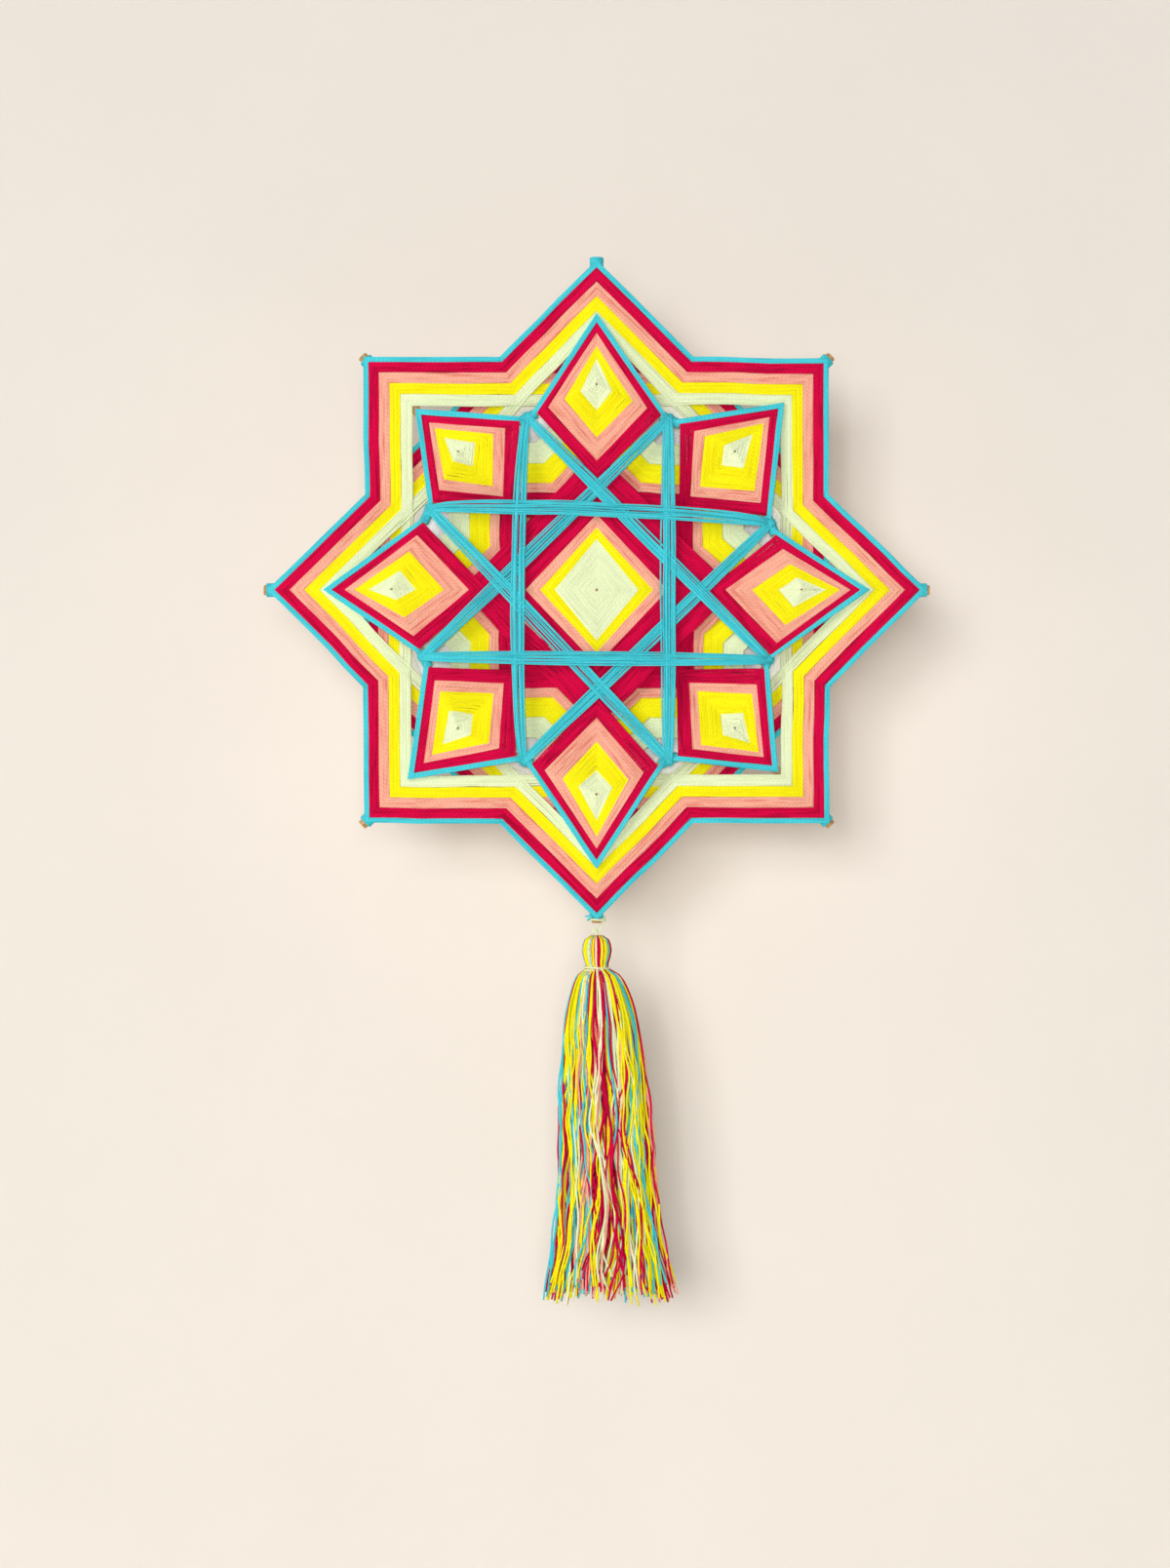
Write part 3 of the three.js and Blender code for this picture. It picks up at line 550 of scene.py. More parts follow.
@dataclass(frozen=True)
class Loop:
    """Part of a circle round a stick, open at the front under a winding, its sides slanting inwards."""

    stick: float
    opening: float
    points: int
    blunt: float
    slant: float
    room: float = 0.08

    def paths(self, middle: Array, axis: Array, across: Array, distances: Array) -> Array:
        """Strands side by side on one stick.

        Args:
            middle: point on the stick's axis.
            axis: unit direction of the stick.
            across: unit direction square to the stick and to the depth.
            distances: distance of each strand from the middle, measured on the stick's ridge.

        Returns:
            Open paths.
        """
        turn = np.radians(np.linspace(-self.opening, 180.0 + self.opening, self.points))
        around = self.stick + LAYOUT.strand + self.room
        lateral = around * np.cos(turn)
        ring = lateral[:, None] * across + around * np.sin(turn)[:, None] * DEPTH_AXIS
        along = distances[:, None] - self.slant * np.sqrt(lateral**2 + self.blunt)
        return middle + along[..., None] * axis + ring


STICK_LOOP = Loop(LAYOUT.stick_radius, opening=35.0, points=11, blunt=0.4, slant=1.0)
SHORT_LOOP = Loop(LAYOUT.short_radius, opening=30.0, points=9, blunt=0.3, slant=0.75)


@dataclass(frozen=True)
class Band:
    """One colour of a winding: its yarn and its width."""

    yarn: Yarn
    width: float


@dataclass
class StarWinding:
    """Eight-pointed star of two interlaced squares.

    A strand lies in front of the sticks at its square's own corners and behind the other pair of sticks at
    the middle of each side. Its depth is linear between four stations on each half side: the corner, the
    front and rear ends of the crossing with the other square's equal colour, and the middle. The first
    square of an unwoven colour stays in front of every stick.
    """

    name: str
    apothem: float
    bands: tuple[Band, ...]
    wrapped: tuple[Yarn, ...]
    seed: int
    loose: tuple[Yarn, ...] = ()
    unwoven: tuple[Yarn, ...] = ()
    collars: tuple[float, ...] = ()
    loose_ends: tuple[tuple[Place, ...], ...] = ()
    steps: tuple[int, ...] = (5, 5, 4)
    waves: tuple[int, ...] = (2, 3, 5, 8, 13, 21, 29)
    unevenness: float = 0.75
    twist: float = 0.045
    slack: float = 0.22
    loose_slack: float = 0.8

    def uneven(self, paths: Array, phases: Array) -> Array:
        """Slide strands along the sticks by a slow ripple round the star, as a hand winds them.

        Args:
            paths: paths of the strands.
            phases: phase of each wave.

        Returns:
            The paths, moved towards or away from the star's middle.
        """
        radius = np.hypot(paths[..., 0], paths[..., 2])[..., None]
        angle = np.arctan2(paths[..., 0], paths[..., 2])[..., None]
        order = np.array(self.waves)
        ripple = np.sin(order * angle + phases + self.twist * radius) / np.sqrt(order)
        drift = self.unevenness * np.tanh(ripple.sum(-1, keepdims=True))
        return paths * (1.0 + drift / np.maximum(radius, 1.0) * FLAT)

    def square(self, first_arm: int, apothems: Array, edges: Pair, rng: Rng,
               slack: float, woven: bool) -> Array:
        """Paths of one square.

        Args:
            first_arm: arm of the square's first corner.
            apothems: apothem of each strand.
            edges: inner and outer apothem of the colour.
            rng: seeded source of the strands' drift.
            slack: drift of the strands in millimetres.
            woven: whether the sides pass behind the other pair of sticks.

        Returns:
            Closed paths.
        """
        corner_depth = LAYOUT.plane(first_arm) - LAYOUT.seat
        swap = (LAYOUT.sheet + LAYOUT.clearance) / 2.0
        front = SQRT2 * (edges[1] + LAYOUT.band_gap / 2.0) - apothems
        rear = SQRT2 * (edges[0] - LAYOUT.band_gap / 2.0) - apothems
        stations = np.stack([apothems, front, rear, np.zeros_like(apothems)], 1)
        depths = np.stack([
            np.full_like(apothems, corner_depth),
            np.minimum(-swap, corner_depth + LAYOUT.steepest * (apothems - front) / SQRT2),
            np.maximum(swap, -corner_depth - LAYOUT.steepest * rear),
            np.full_like(apothems, -corner_depth),
        ], 1)
        if not woven:
            depths[:] = corner_depth
        marks = np.stack([stations, depths], -1)
        half = np.concatenate([between(marks[:, i], marks[:, i + 1], count)
                               for i, count in enumerate(self.steps)], 1)
        along, depth = np.moveaxis(np.concatenate([half, marks[:, 3:], half[:, :0:-1]], 1), -1, 0)
        points = along.shape[1]
        first_half = np.arange(points) <= half.shape[1]
        sides = []
        for side in range(4):
            arm = first_arm + 2 * side
            towards = np.where(first_half[:, None], arm_direction(arm - 1), arm_direction(arm + 3))
            drift = wander(rng, len(apothems), points, slack) * np.sin(np.linspace(0, np.pi, points))
            out = (apothems[:, None] + drift)[..., None] * arm_direction(arm + 1)
            sides.append(out + along[..., None] * towards + depth[..., None] * DEPTH_AXIS)
        return np.concatenate(sides, 1)

    def build(self, yarns: Yarns) -> None:
        """Make one piece for each colour of the star."""
        rng = np.random.default_rng(self.seed)
        phases = rng.uniform(0.0, 2.0 * np.pi, len(self.waves))
        edge = self.apothem
        for band in self.bands:
            outer, inner = edge - LAYOUT.band_gap / 2.0, edge - band.width + LAYOUT.band_gap / 2.0
            edge -= band.width
            apothems = outer + (inner - outer) * LAYOUT.shares(band.width)
            piece = StrandPiece(f"strands_{self.name}_{band.yarn.value}")
            slack = self.loose_slack if band.yarn in self.loose else self.slack
            for first_arm in (0, 1):
                woven = first_arm == 1 or band.yarn not in self.unwoven
                paths = self.square(first_arm, apothems, (inner, outer), rng, slack, woven)
                piece.lay(self.uneven(paths, phases), rng)
            if band.yarn in self.wrapped:
                for arm in range(8):
                    paths = LAYOUT.stick_loops(arm, SQRT2 * apothems)
                    piece.add(paths, arm_direction(arm), False, rng.random(len(paths)))
            if band is self.bands[0]:
                for arm, end in enumerate(self.collars):
                    rings = LAYOUT.stick_rings(arm, np.arange(end, SQRT2 * inner, -LAYOUT.pitch))
                    piece.add(rings, arm_direction(arm), True, rng.random(len(rings)))
                for end in self.loose_ends:
                    piece.add(smooth_path(np.array(end), 3)[None], DEPTH_AXIS, False, rng.random(1))
            piece.build(yarns, band.yarn, f"{self.name}_{band.yarn.value}")


@dataclass
class RearWeb:
    """White yarn wound stick to stick behind the star: nested octagons whose corners lie on the arms."""

    inner: float = 88.6
    outer: float = 130.6
    strands: int = 49
    side_points: int = 5
    depth: float = 8.25
    slack: float = 0.35
    seed: int = 11

    def build(self, yarns: Yarns) -> None:
        """Make the web."""
        rng = np.random.default_rng(self.seed)
        radii = np.linspace(self.inner, self.outer, self.strands)
        corners = np.array([arm_direction(arm) for arm in range(9)])
        outline = between(corners[:-1], corners[1:], self.side_points).reshape(-1, 3)
        drift = wander(rng, self.strands, len(outline), self.slack)
        paths = (radii[:, None] + drift)[..., None] * outline + self.depth * DEPTH_AXIS
        piece = StrandPiece("strands_rear_web_white")
        piece.add(paths, DEPTH_AXIS, True, rng.random(self.strands))
        piece.build(yarns, Yarn.WHITE, "rear_web_white")


@dataclass(frozen=True)
class Diamond:
    """Half diagonals of one colour of the central eye."""

    yarn: Yarn
    upright: float
    level: float


@dataclass
class CentreEye:
    """Central eye: nested diamonds whose corners lie on the front pair of sticks."""

    colours: tuple[Diamond, ...] = (
        Diamond(Yarn.MINT, 30.4, 25.2), Diamond(Yarn.YELLOW, 37.4, 33.9), Diamond(Yarn.SALMON, 45.0, 42.7),
        Diamond(Yarn.CRIMSON, 61.5, 61.5),
    )
    start: float = 1.2
    least_loop: float = 12.0
    slack: float = 0.18
    firm: float = 8.0
    side_points: int = 6
    seed: int = 17

    def build(self, yarns: Yarns) -> None:
        """Make one piece for each colour of the eye."""
        rng = np.random.default_rng(self.seed)
        within = (self.start, self.start)
        depth = LAYOUT.plane(0) - LAYOUT.seat
        for colour in self.colours:
            share = LAYOUT.shares((colour.level - within[1]) / SQRT2)
            upright = within[0] + (colour.upright - within[0]) * share
            level = within[1] + (colour.level - within[1]) * share
            reach = [upright, level, upright, level]
            corners = [reach[i % 4][:, None] * arm_direction(2 * i) for i in range(5)]
            sides = [between(corners[i], corners[i + 1], self.side_points) for i in range(4)]
            paths = np.concatenate(sides, 1) + depth * DEPTH_AXIS
            drift = wander(rng, len(paths), paths.shape[1], self.slack)
            paths *= 1.0 + (drift / np.maximum(level, self.firm)[:, None])[..., None] * FLAT
            piece = StrandPiece(f"strands_eye_{colour.yarn.value}")
            piece.lay(paths, rng)
            for arm in range(0, 8, 2):
                radii = reach[arm // 2]
                loops = LAYOUT.stick_loops(arm, radii[radii > self.least_loop])
                if len(loops):
                    piece.add(loops, arm_direction(arm), False, rng.random(len(loops)))
            piece.build(yarns, colour.yarn, f"eye_{colour.yarn.value}")
            within = (colour.upright, colour.level)


@dataclass
class KiteRound:
    """Eight kites on a ring of short sticks that are lashed over the arms.

    A strand of a kite runs through four corners: two on the kite's arm and two on its short sticks. The
    short sticks lie in front, so each kite is a shallow roof whose ridge follows them. The sizes of a kite
    give, for each colour, the distances from its middle to the outward corner, the one clockwise of it, the
    inward one and the last.
    """

    cardinal_radius: float = 123.0
    diagonal_radius: float = 117.6
    eyelet: float = 1.2
    crossing: float = 12.0
    slack: float = 0.22
    least_loop: float = 5.0
    side_points: int = 6
    seed: int = 23
    colours: tuple[Yarn, ...] = (Yarn.MINT, Yarn.YELLOW, Yarn.SALMON, Yarn.CRIMSON)
    sizes: tuple[tuple[Corners, ...], ...] = (
        ((15.6, 10.1, 15.4, 10.6), (23.2, 23.9, 31.7, 21.3), (30.9, 33.6, 45.8, 32.3),
         (37.3, 42.7, 56.3, 39.3)),
        ((15.6, 11.2, 11.3, 7.6), (24.4, 26.7, 29.9, 20.4), (29.6, 34.6, 37.8, 27.2),
         (36.5, 43.0, 47.0, 36.9)),
        ((15.1, 11.9, 14.2, 7.7), (23.2, 23.7, 30.0, 16.9), (29.1, 35.4, 45.8, 26.8),
         (34.9, 43.3, 56.3, 36.2)),
        ((13.1, 8.4, 12.5, 10.4), (20.4, 23.1, 32.0, 23.0), (24.5, 28.6, 39.0, 29.3),
         (31.3, 38.0, 50.0, 39.8)),
        ((15.6, 11.9, 14.8, 10.3), (25.0, 22.6, 32.3, 21.0), (32.0, 34.4, 46.4, 30.9),
         (39.0, 42.7, 58.5, 40.6)),
        ((13.5, 11.8, 12.5, 8.4), (22.5, 24.6, 30.3, 20.5), (29.5, 31.9, 38.6, 27.3),
         (37.6, 40.6, 49.6, 38.5)),
        ((13.9, 12.4, 14.8, 6.9), (22.1, 25.0, 31.7, 18.4), (27.9, 36.0, 46.4, 30.9),
         (35.6, 44.4, 57.7, 39.3)),
        ((12.3, 11.5, 12.5, 6.8), (20.1, 23.3, 29.5, 18.9), (25.0, 31.5, 38.4, 26.0),
         (31.4, 40.9, 46.8, 34.4)),
    )

    def middle(self, arm: int) -> Array:
        """Crossing of an arm with its short sticks, on the short sticks' axis."""
        radius = self.cardinal_radius if arm % 2 == 0 else self.diagonal_radius
        depth = LAYOUT.plane(arm) - LAYOUT.seat - LAYOUT.sheet / 2.0 - LAYOUT.clearance - LAYOUT.short_radius
        return radius * arm_direction(arm) + depth * DEPTH_AXIS

    def rim(self, arm: int) -> Array:
        """Corner distances of a kite's outermost colour."""
        return np.array(self.sizes[arm % 8][-1])

    def directions(self, arm: int) -> Array:
        """Unit directions to a kite's corners along its sticks: outward, clockwise, inward, last."""
        middle = self.middle(arm)
        out = arm_direction(arm)
        sides = [self.middle(arm + step) - middle for step in (1, -1)]
        sides = [side / np.linalg.norm(side * FLAT) for side in sides]
        return np.array([out, sides[0], -out, sides[1]])

    def corner_points(self, arm: int, distances: Array) -> Array:
        """Places of strands at the four corners of a kite.

        Args:
            arm: arm of the kite.
            distances: corner distances, shape (strands, 4).

        Returns:
            Points, shape (strands, 4, 3). Those on the arm sink from the short sticks' ridge to the arm.
        """
        middle = self.middle(arm)
        points = middle + distances[..., None] * self.directions(arm)
        ridge = LAYOUT.short_radius + LAYOUT.clearance + LAYOUT.sheet / 2.0
        seat = LAYOUT.plane(arm) - LAYOUT.seat - LAYOUT.sheet - LAYOUT.clearance
        sunk = np.clip(distances[:, 0::2] / self.crossing, 0.0, 1.0)
        points[:, 0::2, 1] = (middle[1] - ridge) * (1 - sunk) + seat * sunk
        points[:, 1::2, 1] -= ridge
        return points

    def build(self, yarns: Yarns) -> None:
        """Make one piece for each colour of each kite."""
        rng = np.random.default_rng(self.seed)
        for arm, sizes in enumerate(self.sizes):
            within = np.full(4, self.eyelet)
            for yarn, edge in zip(self.colours, sizes):
                limit = np.array(edge)
                widths = limit - within
                share = LAYOUT.shares(float((widths + np.roll(widths, 1)).max()) / 2.0 / SQRT2)
                distances = within + widths * share[:, None]
                corners = self.corner_points(arm, distances)
                following = np.roll(corners, -1, 1)
                sides = [between(corners[:, i], following[:, i], self.side_points) for i in range(4)]
                paths = np.concatenate(sides, 1)
                outward = unit((paths - self.middle(arm)) * FLAT)
                paths = paths + wander(rng, len(paths), paths.shape[1], self.slack)[..., None] * outward
                piece = StrandPiece(f"strands_kite_{ARM_NAMES[arm]}_{yarn.value}")
                piece.lay(paths, rng)
                for side in (1, 3):
                    axis = self.directions(arm)[side]
                    across = unit(np.cross(axis, DEPTH_AXIS))
                    wound = distances[:, side][distances[:, side] > self.least_loop]
                    if len(wound):
                        loops = SHORT_LOOP.paths(self.middle(arm), axis, across, wound)
                        piece.add(loops, axis, False, rng.random(len(loops)))
                piece.build(yarns, yarn, f"kite_{ARM_NAMES[arm]}_{yarn.value}")
                within = limit


@dataclass
class ThreadNet:
    """Turquoise net: slack bundles from each meeting of two kites to the third one on, borders and ties.

    A strand of a bundle is a straight line between two meetings, moved sideways by its own offset, which
    grows from the ends to the middle, plus a slow drift. Level and upright bundles lie in front of slanting
    ones.
    """

    kites: KiteRound
    bundle_strands: int = 11
    border_strands: int = 5
    spread: float = 7.6
    end_spread: float = 3.4
    border_gap: float = 0.9
    border_pitch: float = 0.95
    tie_margin: float = 0.8
    tie_reach: float = 1.7
    tie_pitch: float = 1.1
    tie_points: int = 12
    cardinal_side: float = 46.8
    diagonal_side: float = 42.7
    slacks: tuple[float, ...] = (0.35, 0.45, 0.6, 0.45, 0.35, 0.45, 0.9, 0.45)
    shifts: tuple[float, ...] = (-0.6, 4.2, -1.7, 0.5, -0.2, 3.8, 5.4, 2.3)
    bows: tuple[float, ...] = (0.0, 0.0, 0.0, 0.0, -4.7, 0.0, -4.1, 0.0)
    rear_depth: float = -11.2
    layer: float = 1.2
    half_layer: float = 0.6
    lift: float = 0.16
    stray: float = 0.05
    overlap: float = 0.008
    rise: float = 2.2
    border_slack: float = 0.35
    border_end: Pair = (-0.3, 0.1)
    border_points: int = 9
    tie_layers: Pair = (2.2, 1.1)
    points: int = 20
    seed: int = 31

    def meeting_distance(self, arm: int) -> float:
        """Distance from a kite's middle to its meeting with the next kite clockwise, across the depth."""
        own, other = self.cardinal_side, self.diagonal_side
        if arm % 2:
            own, other = other, own
        return own + (self.short_length(arm) - own - other) / 2.0 + self.shifts[arm % 8]

    def short_length(self, arm: int) -> float:
        """Distance between the middles of two neighbouring kites, across the depth."""
        return float(np.linalg.norm((self.kites.middle(arm + 1) - self.kites.middle(arm)) * FLAT))

    def meeting(self, arm: int) -> Array:
        """Meeting of the kites on an arm and the next one clockwise, at the front of their short stick."""
        distances = np.full((1, 4), self.meeting_distance(arm))
        return self.kites.corner_points(arm, distances)[0, 1]

    def bundle(self, arm: int, rng: Rng) -> Array:
        """Strands of one bundle.

        Args:
            arm: arm before the bundle's first meeting.
            rng: seeded source of the offsets.

        Returns:
            Open paths.
        """
        start, end = self.meeting(arm), self.meeting((arm + 3) % 8)
        share = np.linspace(-self.overlap, 1.0 + self.overlap, self.points)
        across = unit(np.cross(DEPTH_AXIS, end - start))
        order = np.linspace(-0.5, 0.5, self.bundle_strands) + rng.normal(0, self.stray, self.bundle_strands)
        bulge = np.clip(np.sin(np.pi * np.clip(share, 0, 1)), 0, 1) ** 0.5
        width = self.end_spread + (self.spread - self.end_spread) * bulge
        drift = wander(rng, self.bundle_strands, self.points, self.slacks[arm], waves=3) * bulge
        lift = rng.permutation(self.bundle_strands)[:, None] * self.lift
        layer = self.rear_depth - (0.0 if arm % 2 else self.layer)
        depth = layer - (self.half_layer if arm % 4 in (2, 3) else 0.0) + lift
        line = start + share[:, None] * (end - start)
        paths = line + (order[:, None] * width + drift + self.bows[arm] * bulge)[..., None] * across
        ends = np.clip(bulge * self.rise, 0, 1)
        paths[..., 1] = start[1] * (1 - ends) + depth * ends
        return paths

    def border(self, arm: int, rng: Rng) -> Array:
        """Strands of one kite's outer border, from meeting to meeting over the kite's tip.

        Args:
            arm: arm of the kite.
            rng: seeded source of the drift.

        Returns:
            Open paths.
        """
        order = np.arange(self.border_strands)[:, None]
        distances = self.kites.rim(arm) + self.border_gap + self.border_pitch * order
        before = (arm + 7) % 8
        meeting = (self.meeting_distance(arm), self.short_length(before) - self.meeting_distance(before))
        ends = np.array(meeting) + self.border_end[0] + self.border_end[1] * order
        distances[:, 1::2] = np.minimum(distances[:, 1::2], ends)
        corners = self.kites.corner_points(arm, distances)
        corners[:, 0, 1] -= LAYOUT.sheet
        first = between(corners[:, 3], corners[:, 0], self.border_points)
        second = between(corners[:, 0], corners[:, 1], self.border_points)
        paths = np.concatenate([first, second, corners[:, 1:2]], 1)
        points = paths.shape[1]
        drift = wander(rng, self.border_strands, points, self.border_slack)
        bow = np.sin(np.linspace(0, np.pi, points)) * drift
        return paths + bow[..., None] * arm_direction(arm)

    def ties(self, arm: int) -> Array:
        """Closed circles of thread round the short stick between two kites, wider where the kites are bound.

        Args:
            arm: arm of the first kite.

        Returns:
            Closed paths.
        """
        axis = self.kites.directions(arm)[1]
        across = unit(np.cross(axis, DEPTH_AXIS))
        rise = unit(np.cross(across, axis))
        turn = circle(self.tie_points)
        ring = np.cos(turn)[:, None] * across + np.sin(turn)[:, None] * rise
        low = self.kites.rim(arm)[1] + self.tie_margin
        high = self.short_length(arm) - self.kites.rim(arm + 1)[3] - self.tie_margin
        places = np.arange(low, high, self.tie_pitch)
        binding = np.abs(places - self.meeting_distance(arm)) < self.tie_reach
        around = LAYOUT.short_radius + LAYOUT.strand * np.where(binding, *self.tie_layers)
        return (self.kites.middle(arm) + places[:, None] * axis)[:, None] + around[:, None, None] * ring

    def build(self, yarns: Yarns) -> None:
        """Make the net."""
        rng = np.random.default_rng(self.seed)
        piece = StrandPiece("strands_net_turquoise", radius=0.56)
        for arm in range(8):
            piece.add(self.bundle(arm, rng), DEPTH_AXIS, False, rng.random(self.bundle_strands))
            piece.add(self.border(arm, rng), DEPTH_AXIS, False, rng.random(self.border_strands))
            ties = self.ties(arm)
            piece.add(ties, self.kites.directions(arm)[1], True, rng.random(len(ties)))
        piece.build(yarns, Yarn.TURQUOISE, "net_turquoise")


@dataclass
class Tassel:
    """Hank of mixed yarn hung by a thread link from an eyelet under the bottom corner.

    A strand keeps its place in the oval section of the hank: x is a share of the half width at its depth of
    fall, y the same share of the half depth. The front gives the yarns' initials from left to right.
    """

    axis_depth: float = -3.15
    thread_radius: float = 0.6
    tie_radius: float = 5.122
    tie_start: float = -198.31
    tie_turns: int = 1
    tie_pitch: float = 1.75
    tie_points: int = 16
    eyelet_height: float = -203.2
    eyelet_radius: float = 2.3
    eyelet_from: float = 20.0
    eyelet_sweep: float = 228.0
    link_height: float = -206.4
    link_radius: float = 2.4
    link_points: int = 32
    head_top: float = -207.0
    head_length: float = 18.0
    neck_height: float = 4.2
    neck_half: Pair = (7.55, 6.545)
    neck_tie_radius: float = 0.55
    neck_turns: int = 2
    neck_pitch: float = 1.55
    neck_points: int = 20
    neck_tail: tuple[Place, ...] = (
        (1.6, -1.2, -0.6), (4.0, -2.8, -1.8), (6.6, -4.0, -4.4), (8.4, -4.6, -8.4),
    )
    length: float = 221.0
    outline: tuple[Pair, ...] = (
        (0.0, 5.2), (2.7, 7.6), (9.0, 9.2), (15.3, 7.8), (18.0, 6.7), (22.2, 6.7), (25.8, 15.0),
        (48.6, 22.8), (79.6, 26.8), (121.6, 30.6), (176.8, 34.0), (206.0, 41.0), (230.0, 48.0),
    )
    head_ratio: float = 0.85
    skirt_ratio: float = 0.5
    lean: float = 8.0
    strand_radius: float = 0.62
    locks: int = 84
    lock_strands: int = 5
    stray_share: float = 0.28
    lock_jitter: float = 1.6
    lock_depth: float = 0.2
    strand_depth: float = 0.28
    shortening: Pair = (-9.0, 5.0)
    shortest: float = -22.0
    fold: float = 0.6
    fold_drop: float = 4.0
    fold_least: float = 0.15
    crowding: float = 1.15
    skirt_fall: float = 70.0
    lock_turn: float = 0.2
    strand_turn: float = 0.16
    lock_sway: float = 1.7
    curls: Pair = (4.0, 8.0)
    curl_size: Pair = (0.3, 0.9)
    lean_power: float = 0.6
    depth_drift: float = 1.0
    order: tuple[Yarn, ...] = (Yarn.CRIMSON, Yarn.SALMON, Yarn.TURQUOISE, Yarn.YELLOW, Yarn.MINT)
    front: str = "CCSCTCYTCYTYTSTCSYCCMCYCMMYMCYTYCYTYCYCSCC"
    points: int = 48
    seed: int = 47

    def thread(self, yarns: Yarns, node: str, body: Body, path: Array, closed: bool, radius: float,
               reference: Place) -> None:
        """Make one mint thread.

        Args:
            yarns: material of each yarn.
            node: solid that the thread stands for.
            body: body that carries the thread.
            path: points of the thread, shape (points, 3).
            closed: whether the thread joins its own start.
            radius: radius of the thread.
            reference: a direction well away from the path's own.
        """
        piece = StrandPiece(f"thread_{node}", radius=radius, sides=8, plies=3, ply_pitch=3.2)
        piece.add(path[None], np.array(reference), closed, np.array([0.5]))
        piece.build(yarns, Yarn.MINT, node, body)

    def wound(self, angle: Array, half: Pair, height: Array) -> Array:
        """Points of a thread wound on an ellipse round the tassel's axis, shape (points, 3)."""
        return np.stack([half[0] * np.cos(angle), self.axis_depth + half[1] * np.sin(angle), height], 1)

    def tie_path(self) -> Array:
        """A turn round the bottom corner, led down into an open eyelet."""
        turn = np.arange(self.tie_turns * self.tie_points + 1) / self.tie_points
        angle = 2.0 * np.pi * (turn - self.tie_turns)
        height = self.tie_start + (self.tie_turns - turn) * self.tie_pitch
        wound = self.wound(angle, (self.tie_radius, self.tie_radius), height)
        swept = np.arange(self.tie_points + 1) / self.tie_points
        sweep = np.radians(self.eyelet_from - self.eyelet_sweep * swept)
        eyelet = np.stack([
            self.eyelet_radius * np.cos(sweep),
            np.full(len(sweep), self.axis_depth),
            self.eyelet_height + self.eyelet_radius * np.sin(sweep),
        ], 1)
        return smooth_path(np.vstack([wound, eyelet]), 2)

    def neck_path(self) -> Array:
        """Turns of thread round the neck, ending in a short tail that falls over the skirt."""
        turn = np.arange(self.neck_turns * self.neck_points + 1) / self.neck_points
        angle = 2.0 * np.pi * turn
        drop = self.head_length + self.neck_tie_radius + turn * self.neck_pitch
        wound = self.wound(angle, self.neck_half, self.head_top - drop)
        return smooth_path(np.vstack([wound, wound[-1] + np.array(self.neck_tail)]), 2)

    def lock_yarns(self, rng: Rng) -> Array:
        """Yarn of each strand: one for a lock, with a few strays.

        Args:
            rng: seeded source of the strays.

        Returns:
            Index of each strand's yarn in the tassel's order of yarns, shape (locks, strands of a lock).
        """
        initials = [yarn.name[0] for yarn in self.order]
        yarns = np.array([initials.index(self.front[i % len(self.front)]) for i in range(self.locks)])
        strays = rng.random((self.locks, self.lock_strands)) < self.stray_share
        return np.where(strays, rng.integers(0, len(self.order), strays.shape), yarns[:, None])

    def hank(self, rng: Rng) -> Array:
        """Paths of all strands.

        Locks stand side by side round the hank, from the left over the front to the right and back behind. A
        strand keeps near its lock's course and strays from it more the further it falls.

        Args:
            rng: seeded source of the strands' places.

        Returns:
            Open paths, lock by lock.
        """
        locks, each = self.locks, self.lock_strands
        strands = locks * each
        outline = smooth_path(np.array(self.outline), 6)
        around = np.pi + 2.0 * np.pi * (np.arange(locks) + 0.5) / locks
        around = np.repeat(around, each) + rng.normal(0.0, self.lock_jitter / locks, strands)
        share = np.repeat(1.0 - self.lock_depth * rng.random(locks), each)
        share = share - self.strand_depth * rng.random(strands) ** 2
        end = self.length + rng.normal(*self.shortening, strands).clip(self.shortest, 0.0)
        step = (np.arange(self.points) / (self.points - 1)) ** self.crowding
        drop = self.fold + step * (end[:, None] - self.fold)
        half = np.interp(drop, outline[:, 0], outline[:, 1])
        fall = np.clip((drop - self.head_length - self.neck_height) / self.skirt_fall, 0.0, 1.0)
        ratio = self.head_ratio + (self.skirt_ratio - self.head_ratio) * fall
        course = np.repeat(wander(rng, locks, self.points, self.lock_turn, waves=3), each, 0)
        turned = course + wander(rng, strands, self.points, self.strand_turn, waves=3)
        turned = around[:, None] + turned * fall
        top = np.clip(drop / self.fold_drop, 0.0, 1.0)
        gather = np.sqrt(top * (2.0 - top)) * (1.0 - self.fold_least) + self.fold_least
        sway = np.repeat(wander(rng, locks, self.points, self.lock_sway, waves=4), each, 0)
        waves = rng.uniform(*self.curls, (strands, 1))
        curl = np.sin(2.0 * np.pi * (waves * step + rng.random((strands, 1))))
        wave = rng.uniform(*self.curl_size, (strands, 1)) * curl
        below = (drop - self.head_length) / (self.length - self.head_length)
        aside = self.lean * np.clip(below, 0.0, 1.0) ** self.lean_power
        x = half * share[:, None] * gather * np.cos(turned) + (wave + sway) * fall + aside
        y = half * ratio * share[:, None] * gather * np.sin(turned)
        y = y + wander(rng, strands, self.points, self.depth_drift, waves=4) * fall
        return np.stack([x, self.axis_depth + y, self.head_top - drop], -1)

